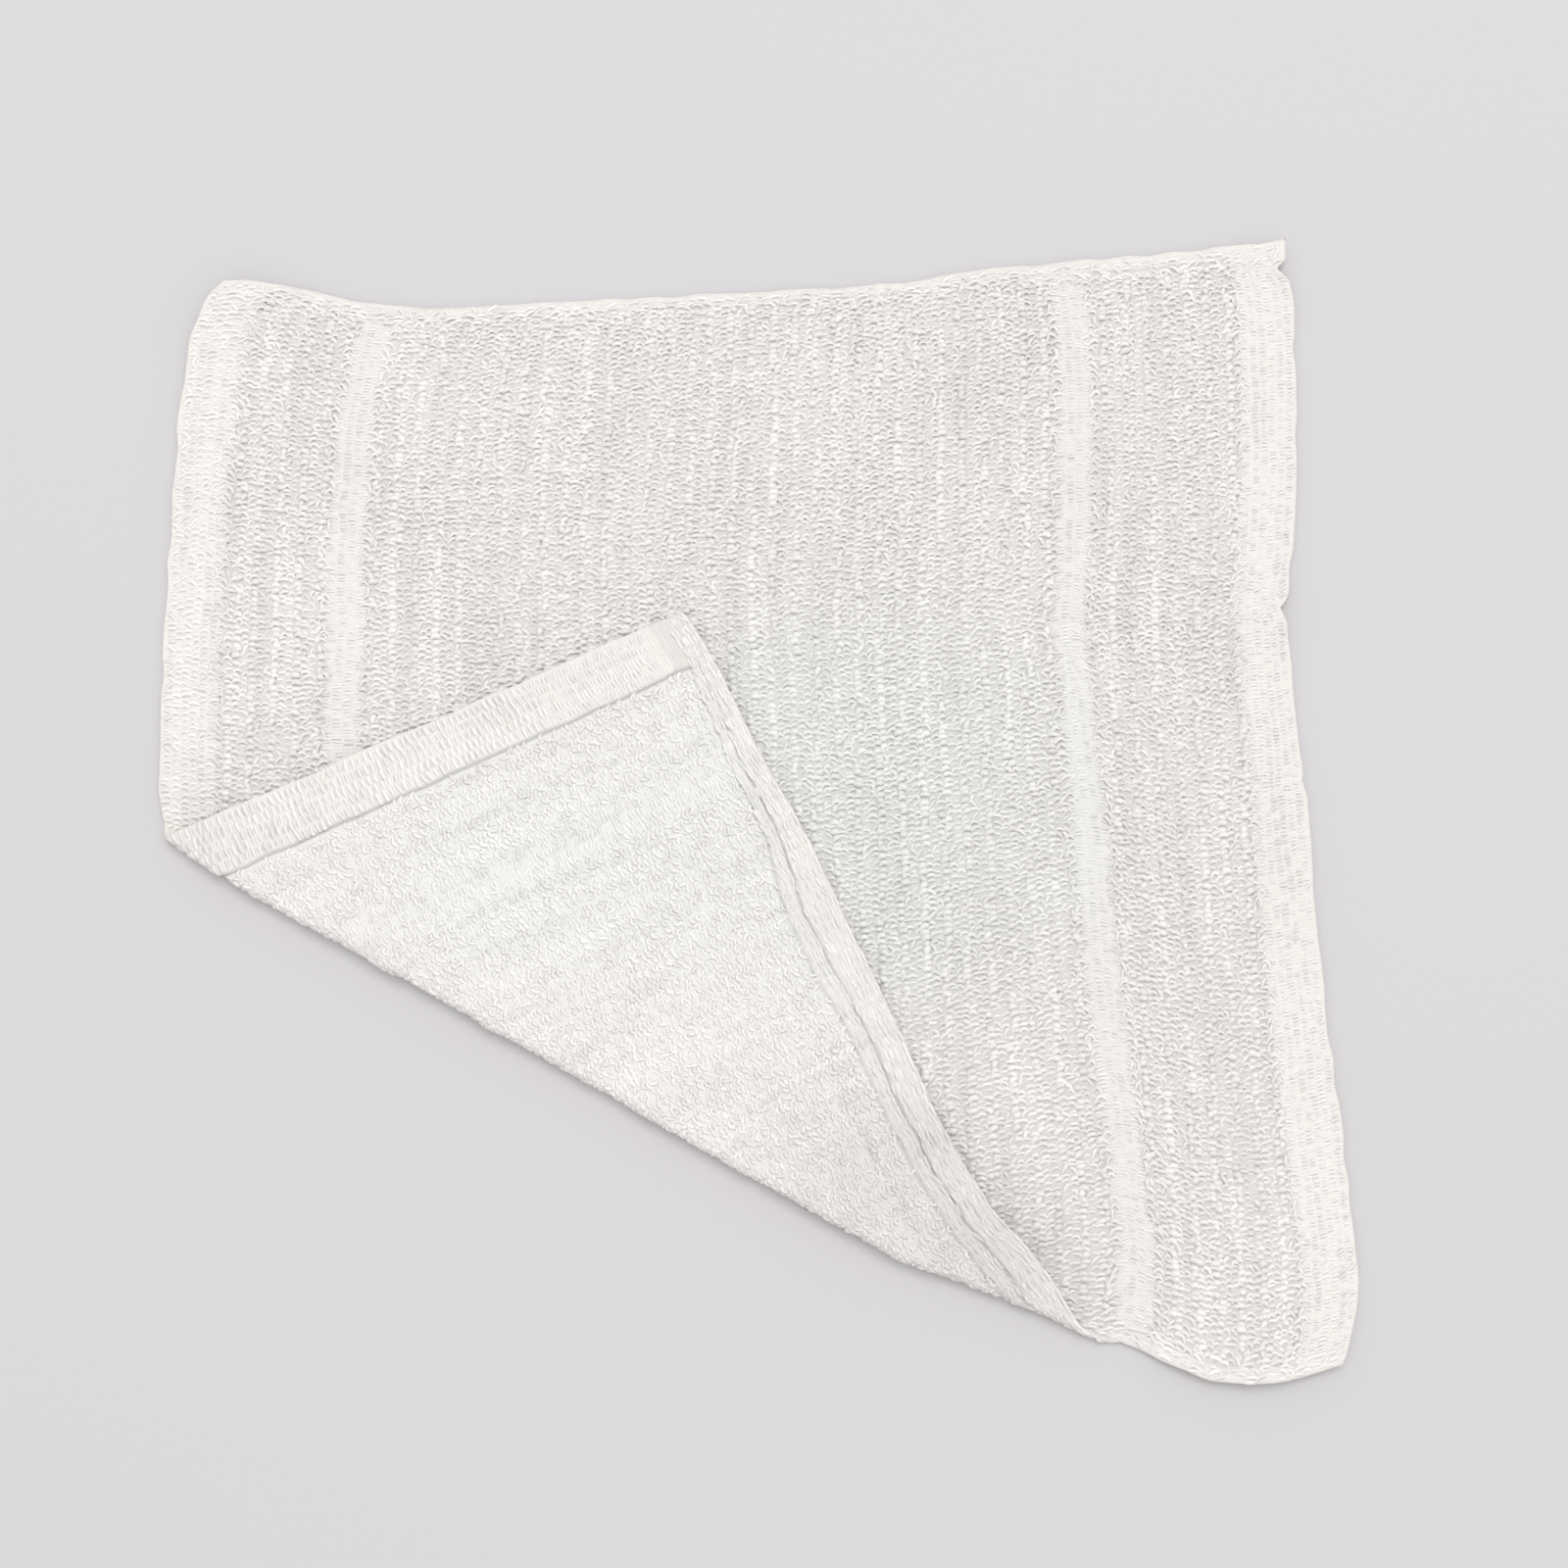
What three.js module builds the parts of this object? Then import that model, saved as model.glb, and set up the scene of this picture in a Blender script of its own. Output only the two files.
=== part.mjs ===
// A thin white terry washcloth that lies flat, with one corner folded over to the middle.
// Millimetres. +X runs to the right, +Y away from the viewer, +Z up. The origin is on the
// surface that the cloth lies on, under the middle of its box.
import * as THREE from "three";

// The cloth before it was laid down: across is from hem to hem, down is from selvedge to selvedge
const CLOTH_ACROSS = 305;
const CLOTH_DOWN = 315;
const HEM_WIDTH = 16;
const SELVEDGE_WIDTH = 8;
const BAND_WIDTH = 11;
const LEFT_BAND_CENTRE = 48.5;
const RIGHT_BAND_CENTRE = 243;
const RIB_PITCH = 5.85;

// Thickness of each weave, and how far the pile stands up along the ribs
const PILE_THICK = 2.1;
const BAND_THICK = 1.6;
const HEM_THICK = 2.0;
const SELVEDGE_THICK = 1.7;
const RIB_RISE = 0.45;
const LAYER_GAP = 0.4;
const WEAVE_STEP = 1.5; // width of the slope from one weave to the next

// The fold: it starts this far down the left edge and ends this far along the bottom edge
const FOLD_DOWN_LEFT = 163.5;
const FOLD_ALONG_BOTTOM = 234;
const ROLL_HALF = 4; // half of the cloth that goes round the fold
const FOLD_LEAD = 8; // how far the fold line below runs past the cloth at each end
const SETTLE_REACH = 20; // how far from the fold the flap has settled on the layer below
const ROLL_RADIUS = [
  { along: 0, radius: 3.1 },
  { along: 70, radius: 3.9 },
  { along: 130, radius: 3.5 },
  { along: 200, radius: 3.8 },
  { along: 278, radius: 2.3 },
];

// Outlines as the cloth lies. Corners that two outlines share are worked out below.
const TOP_LEFT = { x: -151, y: 147 };
const TOP_RIGHT = { x: 154.5, y: 159.5 };
const BOTTOM_RIGHT = { x: 157.5, y: -155.5 };
const FLAP_TIP = { x: -18, y: 49 };
const TOP_EDGE = [
  { x: -138, y: 147 },
  { x: -114, y: 142 },
  { x: -91, y: 139.5 },
  { x: -63, y: 141 },
  { x: -18, y: 143.5 },
  { x: 38, y: 147 },
  { x: 66, y: 151 },
  { x: 100, y: 154.5 },
  { x: 134, y: 157.5 },
];
const LEFT_EDGE = [
  { x: -155.5, y: 142 },
  { x: -159.5, y: 131 },
  { x: -162, y: 113.5 },
  { x: -163, y: 84.5 },
  { x: -163.5, y: 50 },
  { x: -162.5, y: 0 },
];
const RIGHT_EDGE = [
  { x: 155, y: 150.5 },
  { x: 156.5, y: 143 },
  { x: 156.5, y: 113.5 },
  { x: 154.5, y: 73 },
  { x: 151.5, y: 51 },
  { x: 152.5, y: 30 },
  { x: 154.5, y: 0 },
  { x: 157, y: -54 },
  { x: 161.5, y: -106.5 },
  { x: 163, y: -132 },
  { x: 161.5, y: -145 },
];
const BOTTOM_EDGE = [
  { x: 114, y: -156 },
  { x: 124.5, y: -159.5 },
  { x: 134.5, y: -160 },
  { x: 145, y: -159 },
];
const FOLD_LINE = [
  { x: -167, y: -9.5 },
  { x: -160.5, y: -14.5 },
  { x: -139.5, y: -28.5 },
  { x: -96, y: -52.5 },
  { x: -42.5, y: -82.5 },
  { x: 10.5, y: -112 },
  { x: 41.5, y: -129 },
  { x: 62.5, y: -136.5 },
  { x: 83, y: -144.5 },
  { x: 93.5, y: -149.5 },
  { x: 100.5, y: -152.5 },
];
const FLAP_EDGE = [
  { x: -8.5, y: 34 },
  { x: 1, y: 14 },
  { x: 16.5, y: -15 },
  { x: 30, y: -47.5 },
  { x: 51, y: -93 },
  { x: 65, y: -113.5 },
  { x: 77, y: -127.5 },
];

// Soft swells: where the single layer lifts off the surface, and where the flap stands up
const LIFTS = [
  { x: -152, y: 147, reach: 20, rise: 2.6 },
  { x: 155, y: 160, reach: 16, rise: 2.4 },
  { x: 112, y: -159, reach: 12, rise: 2.2 },
  { x: 136, y: -163, reach: 14, rise: 2.8 },
  { x: 158, y: -157, reach: 10, rise: 1.5 },
  { x: 150, y: 51, reach: 9, rise: 1.6 },
];
const FLAP_SWELLS = [
  { x: -70, y: -25, reach: 34, rise: 0.9 },
  { x: 5, y: -68, reach: 26, rise: 1.2 },
  { x: 50, y: -118, reach: 14, rise: 1.4 },
  { x: -22, y: 38, reach: 14, rise: 0.8 },
];

// Rows of points down the cloth, beside those at the selvedges
const BASE_ROWS = 11;
const ROLL_ROWS = 6;
const FLAP_ROWS = 5;
const MERGE_DIGITS = 4;

const WHITE_COTTON = 0xefece8;
const COTTON_ROUGHNESS = 0.95;

// Curves through the tables above, read by the share of their length

function curveThrough(points) {
  return new THREE.CatmullRomCurve3(points.map((p) => new THREE.Vector3(p.x, p.y, 0)));
}

function blend(low, high, value) {
  return THREE.MathUtils.smoothstep(value, low, high);
}

function rollRadius(along) {
  const next = ROLL_RADIUS.findIndex((row) => row.along > along);
  if (next === 0) return ROLL_RADIUS[0].radius;
  if (next < 0) return ROLL_RADIUS.at(-1).radius;
  const from = ROLL_RADIUS[next - 1];
  const to = ROLL_RADIUS[next];
  return THREE.MathUtils.lerp(from.radius, to.radius, blend(from.along, to.along, along));
}

function swell(table, x, y) {
  const heights = table.map((row) => {
    const distance = Math.hypot(x - row.x, y - row.y) / row.reach;
    return row.rise * Math.exp(-distance * distance);
  });
  return heights.reduce((sum, height) => sum + height, 0);
}

// The fold, in the flat cloth and as it lies

const foldRun = new THREE.Vector2(FOLD_ALONG_BOTTOM, CLOTH_DOWN - FOLD_DOWN_LEFT);
const FOLD_LENGTH = foldRun.length();
const foldDirection = foldRun.clone().normalize();
const foldCurve = curveThrough(FOLD_LINE);
const ROLL_DOWN = ROLL_HALF / foldDirection.x; // the roll's half, measured down the cloth

function foldPlace(across, down) {
  const fromStart = down - FOLD_DOWN_LEFT;
  return {
    along: across * foldDirection.x + fromStart * foldDirection.y,
    past: fromStart * foldDirection.x - across * foldDirection.y,
  };
}

function foldDown(across) {
  return FOLD_DOWN_LEFT + (across * foldDirection.y) / foldDirection.x;
}

// The middle of the roll beside a point of the fold line, and the way out of the cloth there
function rollCentre(along) {
  const share = (along + FOLD_LEAD) / (FOLD_LENGTH + 2 * FOLD_LEAD);
  const inside = THREE.MathUtils.clamp(share, 0, 1);
  const tangent = foldCurve.getTangentAt(inside);
  const out = new THREE.Vector3(tangent.y, -tangent.x, 0);
  const radius = rollRadius(along);
  const centre = foldCurve.getPointAt(inside).addScaledVector(out, -radius);
  return { centre, out, radius };
}

// The single layer: a patch between its four edges

const BASE_END = CLOTH_DOWN - ROLL_DOWN;
const CORNER_ACROSS = ((BASE_END - FOLD_DOWN_LEFT) * foldDirection.x) / foldDirection.y;
const ROLL_ACROSS = FOLD_ALONG_BOTTOM * 2 - CORNER_ACROSS; // where the roll starts at the bottom edge
const bottomStart = rollCentre(foldPlace(ROLL_ACROSS, CLOTH_DOWN).along).centre;
const leftEnd = rollCentre(foldPlace(0, FOLD_DOWN_LEFT - ROLL_DOWN).along).centre;
const topCurve = curveThrough([TOP_LEFT, ...TOP_EDGE, TOP_RIGHT]);
const leftCurve = curveThrough([TOP_LEFT, ...LEFT_EDGE, leftEnd]);
const rightCurve = curveThrough([TOP_RIGHT, ...RIGHT_EDGE, BOTTOM_RIGHT]);
const bottomCurve = curveThrough([bottomStart, ...BOTTOM_EDGE, BOTTOM_RIGHT]);

function baseDown(across) {
  return Math.min(CLOTH_DOWN, foldDown(across) - ROLL_DOWN);
}

function lowerEdge(across) {
  if (across >= ROLL_ACROSS) {
    return bottomCurve.getPointAt((across - ROLL_ACROSS) / (CLOTH_ACROSS - ROLL_ACROSS));
  }
  return rollCentre(foldPlace(across, baseDown(across)).along).centre;
}

function basePoint(across, down) {
  const a = across / CLOTH_ACROSS;
  const d = down / baseDown(across);
  const top = topCurve.getPointAt(a);
  const low = lowerEdge(across);
  const left = leftCurve.getPointAt(d);
  const right = rightCurve.getPointAt(d);
  const mix = (key) => {
    const edges = (1 - d) * top[key] + d * low[key] + (1 - a) * left[key] + a * right[key];
    const topCorners = (1 - d) * ((1 - a) * TOP_LEFT[key] + a * TOP_RIGHT[key]);
    const lowCorners = d * ((1 - a) * leftEnd[key] + a * BOTTOM_RIGHT[key]);
    return edges - topCorners - lowCorners;
  };
  return new THREE.Vector3(mix("x"), mix("y"), 0);
}

// The flap: straight threads from the fold to the edge that was folded over

const flapEnd = rollCentre(foldPlace(CORNER_ACROSS, CLOTH_DOWN).along).centre;
const flapCurve = curveThrough([FLAP_TIP, ...FLAP_EDGE, flapEnd]);
const FLAP_REST = PILE_THICK + RIB_RISE + LAYER_GAP + PILE_THICK;

function flapPoint(across, down) {
  const start = foldDown(across) + ROLL_DOWN;
  const share = (down - start) / Math.max(CLOTH_DOWN - start, 1e-6);
  const from = rollCentre(foldPlace(across, start).along);
  const to = flapCurve.getPointAt(Math.min(1, across / CORNER_ACROSS));
  const place = from.centre.clone().lerp(to, THREE.MathUtils.clamp(share, 0, 1));
  const away = (foldPlace(across, down).past - ROLL_HALF) / SETTLE_REACH;
  const settle = Math.exp(-away * away);
  place.z = FLAP_REST + (2 * from.radius - FLAP_REST) * settle;
  place.z += swell(FLAP_SWELLS, place.x, place.y) * (1 - settle);
  return place;
}

// The weaves: each has its thickness, and the pile has its ribs

const bands = [LEFT_BAND_CENTRE, RIGHT_BAND_CENTRE].map((centre) => ({
  start: centre - BAND_WIDTH / 2,
  end: centre + BAND_WIDTH / 2,
}));
const fields = [
  { start: HEM_WIDTH, end: bands[0].start },
  { start: bands[0].end, end: bands[1].start },
  { start: bands[1].end, end: CLOTH_ACROSS - HEM_WIDTH },
];
fields.forEach((field) => {
  field.ribs = Math.round((field.end - field.start) / RIB_PITCH);
  field.pitch = (field.end - field.start) / field.ribs;
});

function weaveAt(across, down) {
  const fromSelvedge = Math.min(down, CLOTH_DOWN - down);
  const pile = blend(SELVEDGE_WIDTH - 0.1, SELVEDGE_WIDTH + WEAVE_STEP, fromSelvedge);
  const fromHem = Math.min(across, CLOTH_ACROSS - across);
  if (fromHem < HEM_WIDTH) return { thick: HEM_THICK, rib: 0 };
  const field = fields.find((f) => across >= f.start && across <= f.end);
  const plain = field ? PILE_THICK : BAND_THICK;
  const thick = THREE.MathUtils.lerp(SELVEDGE_THICK, plain, pile);
  if (!field) return { thick, rib: 0 };
  const turn = ((across - field.start) / field.pitch) * Math.PI;
  return { thick, rib: RIB_RISE * pile * Math.sin(turn) ** 2 };
}

// A point of the cloth's face, which looks up where it lies flat, or of its back

function clothPoint(across, down, onFace) {
  const { along, past } = foldPlace(across, down);
  const { thick, rib } = weaveAt(across, down);
  if (past <= -ROLL_HALF || baseDown(across) >= CLOTH_DOWN) {
    const place = basePoint(across, down);
    place.z = swell(LIFTS, place.x, place.y) * blend(0, 3 * ROLL_HALF, -past - ROLL_HALF);
    const nearRoll = blend(ROLL_HALF, 3 * ROLL_HALF, -past);
    if (onFace) place.z += thick + rib * nearRoll;
    return place;
  }
  if (past < ROLL_HALF) {
    const turn = ((past + ROLL_HALF) / (2 * ROLL_HALF)) * Math.PI;
    const { centre, out, radius } = rollCentre(along);
    const reach = onFace ? radius - thick : radius;
    const place = centre.addScaledVector(out, reach * Math.sin(turn));
    place.z = radius - reach * Math.cos(turn);
    return place;
  }
  const place = flapPoint(across, down);
  const ribs = rib * blend(ROLL_HALF, 2 * ROLL_HALF, past);
  place.z += onFace ? -thick : ribs;
  return place;
}

// Where the columns and rows of points lie on the flat cloth

function columnPlaces() {
  const places = [0, HEM_WIDTH / 2, HEM_WIDTH - WEAVE_STEP / 2];
  fields.forEach((field) => {
    for (let half = 0; half <= 2 * field.ribs; half += 1) {
      places.push(field.start + (half * field.pitch) / 2);
    }
  });
  bands.forEach((band) => places.push(band.start + WEAVE_STEP, band.end - WEAVE_STEP));
  places.push(CLOTH_ACROSS - HEM_WIDTH + WEAVE_STEP / 2, CLOTH_ACROSS - HEM_WIDTH / 2, CLOTH_ACROSS);
  return places.sort((one, other) => one - other);
}

function evenSteps(from, to, count) {
  return Array.from({ length: count }, (_, i) => THREE.MathUtils.lerp(from, to, i / (count - 1)));
}

function rowPlaces(across) {
  const pileStart = SELVEDGE_WIDTH + WEAVE_STEP;
  const low = baseDown(across);
  const flapStart = foldDown(across) + ROLL_DOWN;
  const pileEnd = CLOTH_DOWN - pileStart;
  const places = [
    0,
    SELVEDGE_WIDTH,
    ...evenSteps(pileStart, low - pileStart, BASE_ROWS),
    low - SELVEDGE_WIDTH,
    ...evenSteps(low, flapStart, ROLL_ROWS),
    ...evenSteps(flapStart, Math.max(flapStart, pileEnd), FLAP_ROWS).slice(1),
    Math.max(flapStart, CLOTH_DOWN - SELVEDGE_WIDTH),
    CLOTH_DOWN,
  ];
  return places.map((down) => Math.min(down, CLOTH_DOWN));
}

// One closed mesh: the face, the back and the rim between them. Rows that run past the
// bottom edge share its point there, and the empty triangles between them are left out.

function clothGeometry() {
  const columns = columnPlaces();
  const rows = columns.map(rowPlaces);
  const rowCount = rows[0].length;
  const positions = [];
  const numbers = new Map();
  const triangles = [];

  function numberOf(point) {
    const key = point.toArray().map((value) => value.toFixed(MERGE_DIGITS)).join(" ");
    if (!numbers.has(key)) {
      numbers.set(key, positions.length / 3);
      positions.push(...point.toArray());
    }
    return numbers.get(key);
  }

  function addQuad(a, b, c, d) {
    [[a, b, c], [a, c, d]].forEach((triangle) => {
      if (new Set(triangle).size === 3) triangles.push(...triangle);
    });
  }

  const gridOf = (onFace) =>
    columns.map((across, i) => rows[i].map((down) => numberOf(clothPoint(across, down, onFace))));
  const face = gridOf(true);
  const back = gridOf(false);
  const lastColumn = columns.length - 1;
  const lastRow = rowCount - 1;
  for (let i = 0; i < lastColumn; i += 1) {
    for (let j = 0; j < lastRow; j += 1) {
      addQuad(face[i][j], face[i][j + 1], face[i + 1][j + 1], face[i + 1][j]);
      addQuad(back[i][j], back[i + 1][j], back[i + 1][j + 1], back[i][j + 1]);
    }
    addQuad(face[i][0], face[i + 1][0], back[i + 1][0], back[i][0]);
    addQuad(face[i][lastRow], back[i][lastRow], back[i + 1][lastRow], face[i + 1][lastRow]);
  }
  for (let j = 0; j < lastRow; j += 1) {
    addQuad(face[0][j], back[0][j], back[0][j + 1], face[0][j + 1]);
    addQuad(face[lastColumn][j], face[lastColumn][j + 1], back[lastColumn][j + 1], back[lastColumn][j]);
  }
  const geometry = new THREE.BufferGeometry();
  geometry.setAttribute("position", new THREE.Float32BufferAttribute(positions, 3));
  geometry.setIndex(triangles);
  geometry.computeVertexNormals();
  return geometry;
}

function washcloth() {
  const geometry = clothGeometry();
  geometry.computeBoundingBox();
  const middle = geometry.boundingBox.getCenter(new THREE.Vector3());
  geometry.translate(-middle.x, -middle.y, -geometry.boundingBox.min.z);
  const material = new THREE.MeshStandardMaterial({
    color: WHITE_COTTON,
    roughness: COTTON_ROUGHNESS,
    metalness: 0,
    flatShading: true,
  });
  const mesh = new THREE.Mesh(geometry, material);
  mesh.name = "washcloth";
  return mesh;
}

const part = new THREE.Group();
part.add(washcloth());

export default part;
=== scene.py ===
"""A thin white terry washcloth that lies flat, with one corner folded over to the middle.

The ground sheet is one closed mesh that follows the way the cloth lies. Looped yarn, hem and selvedge
threads and stray loops grow over it by Geometry Nodes. Lengths are in millimetres up to a mesh, a node tree
or the stage, and in metres there.
On the flat cloth, across runs from hem to hem and down runs from selvedge to selvedge.
"""
import math

import bpy
import numpy as np
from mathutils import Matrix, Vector


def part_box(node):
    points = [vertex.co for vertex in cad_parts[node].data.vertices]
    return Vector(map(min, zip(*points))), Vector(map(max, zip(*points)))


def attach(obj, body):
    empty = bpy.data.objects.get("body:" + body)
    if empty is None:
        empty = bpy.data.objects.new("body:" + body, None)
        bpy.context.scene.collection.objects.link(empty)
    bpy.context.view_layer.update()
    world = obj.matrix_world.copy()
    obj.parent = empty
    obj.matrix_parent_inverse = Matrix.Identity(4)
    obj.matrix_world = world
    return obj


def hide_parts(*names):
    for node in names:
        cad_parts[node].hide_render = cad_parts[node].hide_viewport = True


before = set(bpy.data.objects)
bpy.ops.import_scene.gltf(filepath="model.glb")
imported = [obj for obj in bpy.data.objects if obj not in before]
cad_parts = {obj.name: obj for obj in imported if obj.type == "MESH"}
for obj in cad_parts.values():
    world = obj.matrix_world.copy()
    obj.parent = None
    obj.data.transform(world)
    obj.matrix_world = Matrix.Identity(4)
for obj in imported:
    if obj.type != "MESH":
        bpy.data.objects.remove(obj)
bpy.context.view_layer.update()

MM = 0.001

# The flat cloth.
CLOTH_ACROSS = 305.0
CLOTH_DOWN = 315.0
HEM_WIDTH = 16.0
BAND_WIDTH = 11.0
BAND_CENTRES = (48.5, 243.0)
CLOTH_THICK = 2.1
LAYER_GAP = 0.4
RIB_RISE = 0.45

# On the face and on the back: the width of the selvedge, and half the thickness of the ground.
FACE, BACK = 0, 1
SELVEDGE_WIDTHS = (4.2, 12.8)
GROUND_HALF = (0.34, 0.36)
BAND_HALF = (0.5, 0.5)
SELVEDGE_HALF = (0.6, 0.75)
HEM_HALF = (0.7, 0.8)

# Where a zone gives way to the next, from its nominal edge.
HEM_STEP = (-0.7, 0.3)
ZONE_STEP = (-0.8, 0.4)

# The rounded rim of the ground, and the ridges along its selvedges.
EDGE_ROUND = 1.1
SELVEDGE_RIDGE = 0.24
SELVEDGE_RIDGE_PITCH = 1.75

# Grooves of the back, along the hem and the selvedge: how far in from the edge, and how dark their painted
# shade is.
HEM_GROOVE = (16.4, 0.36)
SELVEDGE_GROOVES = ((8.4, 0.3), (13.0, 0.14))
GROOVE_WIDTH = 0.42
GROOVE_DEPTH = 0.65
GROOVE_FLOOR = -0.15
GROOVE_END = 0.5

# The selvedge of the back narrows towards the corner: places across the cloth with the share of its width
# there, and how far in from the edge the yarn moves with it.
SELVEDGE_TAPER = ((0, 0.5), (30, 0.56), (60, 0.72), (95, 1.08), (130, 1.0))
TAPER_REACH = 14.0

# The doubled corner of the back: how far it reaches from the selvedge, and how much greyer it looks.
CORNER_REACH = 20.0
CORNER_SHADE = 0.09

# Notches in the right edge: how far down they are, their half width and their depth.
NOTCHES = ((8.6, 1.7, 2.6), (109.2, 2.0, 2.0), (158.0, 2.4, 0.7))

# The fold: where its line crosses the left hem and the bottom selvedge, and the size of the roll.
FOLD_DOWN_LEFT = 163.5
FOLD_ALONG_BOTTOM = 234.0
ROLL_HALF = 4.0
FOLD_LEAD = 8.0
SETTLE_REACH = 20.0
TANGENT_STEP = 0.002
ROLL_RADIUS = ((0, 3.1), (70, 3.9), (130, 3.5), (200, 3.8), (278, 2.3))

# The outline on the floor.
TOP_LEFT = (-151, 147)
TOP_RIGHT = (154.5, 159.5)
BOTTOM_RIGHT = (157.5, -155.5)
FLAP_TIP = (-18, 49)
TOP_EDGE = ((-138, 147), (-114, 142), (-91, 139.5), (-63, 141), (-18, 143.5), (38, 147), (66, 151),
            (100, 154.5), (134, 157.5))
LEFT_EDGE = ((-155.5, 142), (-159.5, 131), (-162, 113.5), (-163, 84.5), (-163.5, 50), (-162.5, 0))
RIGHT_EDGE = ((155, 150.5), (156.5, 143), (156.5, 113.5), (154.5, 73), (151.5, 51), (152.5, 30),
              (154.5, 0), (157, -54), (161.5, -106.5), (163, -132), (161.5, -145))
BOTTOM_EDGE = ((114, -156), (124.5, -159.5), (134.5, -160), (145, -159))
FOLD_LINE = ((-167, -9.5), (-160.5, -14.5), (-139.5, -28.5), (-96, -52.5), (-42.5, -82.5), (10.5, -112),
             (41.5, -129), (62.5, -136.5), (83, -144.5), (93.5, -149.5), (100.5, -152.5))
FLAP_EDGE = ((-8.5, 34), (1, 14), (17, -15), (32, -47.5), (45.5, -76), (53, -93), (65, -113.5), (77, -127.5))

# Places where the cloth stands off the floor or off the layer below: x, y, reach and rise.
LIFTS = ((-152, 147, 20, 2.6), (155, 160, 16, 2.4), (112, -159, 12, 2.2), (136, -163, 14, 2.8),
         (158, -157, 10, 1.5), (150, 51, 9, 1.6))
LIFT_FADE = 12
FLAP_SWELLS = ((-70, -25, 34, 0.9), (5, -68, 26, 1.2), (50, -118, 14, 1.4), (-22, 38, 14, 0.8))

# Creases on the flat cloth: across and down at both ends, width and rise.
CREASES = (
    (118, 293.6, 196, 293.4, 2.0, -0.75), (70, 300.5, 190, 301, 4.5, 0.55), (96, 286, 190, 285, 5.0, 0.5),
    (44, 57.6, 128, 59, 1.0, -0.55), (44, 69.7, 124, 69.7, 1.0, -0.45), (150, 62, 215, 66, 1.2, -0.4),
    (236, 34, 254, 34.2, 0.9, -0.4), (237, 72, 252, 72.5, 0.9, -0.35), (234, 110.3, 255, 111.7, 0.9, -0.45),
    (239, 156.7, 294, 157.5, 1.1, 0.45), (238, 205, 251, 205.5, 0.9, -0.3),
)
CREASE_FADE = 0.15

# Slow waves of the cloth, and the wander of its threads.
NOISE_CELLS = 64
WAVE_SIZE = 24.0
WAVE_RISE = 0.35
WAVE_SEED = 5
WANDER_SIZE = 6.5
WANDER = 0.45
WANDER_SEEDS = (21, 22)

# Looped yarn: the pitch of its rows, and its section, a triangle with an edge up.
ROW_PITCH = 1.72
FLAP_ROW_PITCH = 1.2
FINE_ROW_PITCH = 1.05
CORD_PITCH = 1.75
STRAY_PITCH = 2.3
UNDER_ROW_PITCH = 3.4
SELVEDGE_PITCH = 1.3
YARN_SIDES = 3
YARN_FLATNESS = 0.9
EDGE_UP = (0.0, 0.0, math.pi / 2)

# How far yarn stays from the cloth's edge, how often a rib is fat, and how much ribs differ in tone.
EDGE_CLEARANCE = 0.5
RIB_CYCLE = 3.0
RIB_TONE = 2.4

# How far loops differ from one another: shares of their own values, tone, and height in millimetres.
REACH_RANGE = (0.82, 1.18)
BOW_RANGE = (0.3, 1.5)
RADIUS_RANGE = (0.82, 1.22)
TONE_RANGE = (-0.4, 0.4)
STRAY_RANGE = (-0.5, 0.5)
HEIGHT_RANGE = (-0.18, 0.18)

# Loops at the sides of a field stray and tilt more, and the ends of a loop dive into the ground.
BORDER_STRAY = 0.9
BORDER_TILT = 0.7
DIVE_START = 2 / 3
DIVE_DEPTH = 0.3

# Painted shade and painted light: places painted greyer where the flap curves down to the fold and at the
# fold's ends, and, with a minus, painted brighter: x, y, reach and the share of light lost.
PAINTED_SHADE_AND_LIGHT_SPOTS = ((34, -106, 24, 0.12), (66, -130, 20, 0.12), (52, -96, 6, 0.08), (-150, -8, 12, 0.05),
              (-140, 60, 60, -0.035), (-60, 143, 60, -0.02), (140, -130, 50, -0.03))

# Ovals that look cooler: x, y and half sizes, and the share of red lost there.
COOL_OVALS = ((30, -5, 90, 80), (-62, -24, 55, 38))
RED_LOSS = 0.028

# Camera and light.
CAMERA_TARGET = (10.5, 1.0, 0.0)
CAMERA_ELEVATION = 80.0
CAMERA_DISTANCE = 604.0
LENS = 50.0
SENSOR = 36.0
FLOOR_HALF = 6.0
FLOOR_HEIGHT = -0.0004
FLOOR_COLOUR = (0.66, 0.647, 0.654, 1)
DOME_STRENGTH = 0.82
KEY_POWER = 17.0
KEY_SIZE = 1.2
KEY_PLACE = (0.2, 0.6, 2.2)

# Guards against dividing by nothing, and the decimals that tell two vertices apart.
NEAR = 1e-6
TINY = 1e-9
KEY_DECIMALS = 4


def smooth_curve(points, steps=40):
    """A smooth line through a table of points, with the share of its length at each of its own points."""
    table = np.array(points, float)
    table = np.vstack([2 * table[0] - table[1], table, 2 * table[-1] - table[-2]])
    t = np.linspace(0, 1, steps, endpoint=False)[:, None]
    runs = []
    for a, b, c, d in zip(table, table[1:], table[2:], table[3:]):
        ab, bc, cd = (math.sqrt(np.linalg.norm(gap)) for gap in (b - a, c - b, d - c))
        start = ((b - a) / ab - (c - a) / (ab + bc) + (c - b) / bc) * bc
        end = ((c - b) / bc - (d - b) / (bc + cd) + (d - c) / cd) * bc
        square = t**2 * (3 * (c - b) - 2 * start - end)
        cube = t**3 * (2 * (b - c) + start + end)
        runs.append(b + t * start + square + cube)
    line = np.vstack(runs + [table[-2:-1]])
    length = np.concatenate([[0], np.cumsum(np.linalg.norm(np.diff(line, axis=0), axis=1))])
    return line, length / length[-1]


def on_curve(curve, share):
    """The points at these shares of a curve's length."""
    line, shares = curve
    return np.stack([np.interp(share, shares, line[:, axis]) for axis in (0, 1)], axis=-1)


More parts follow.
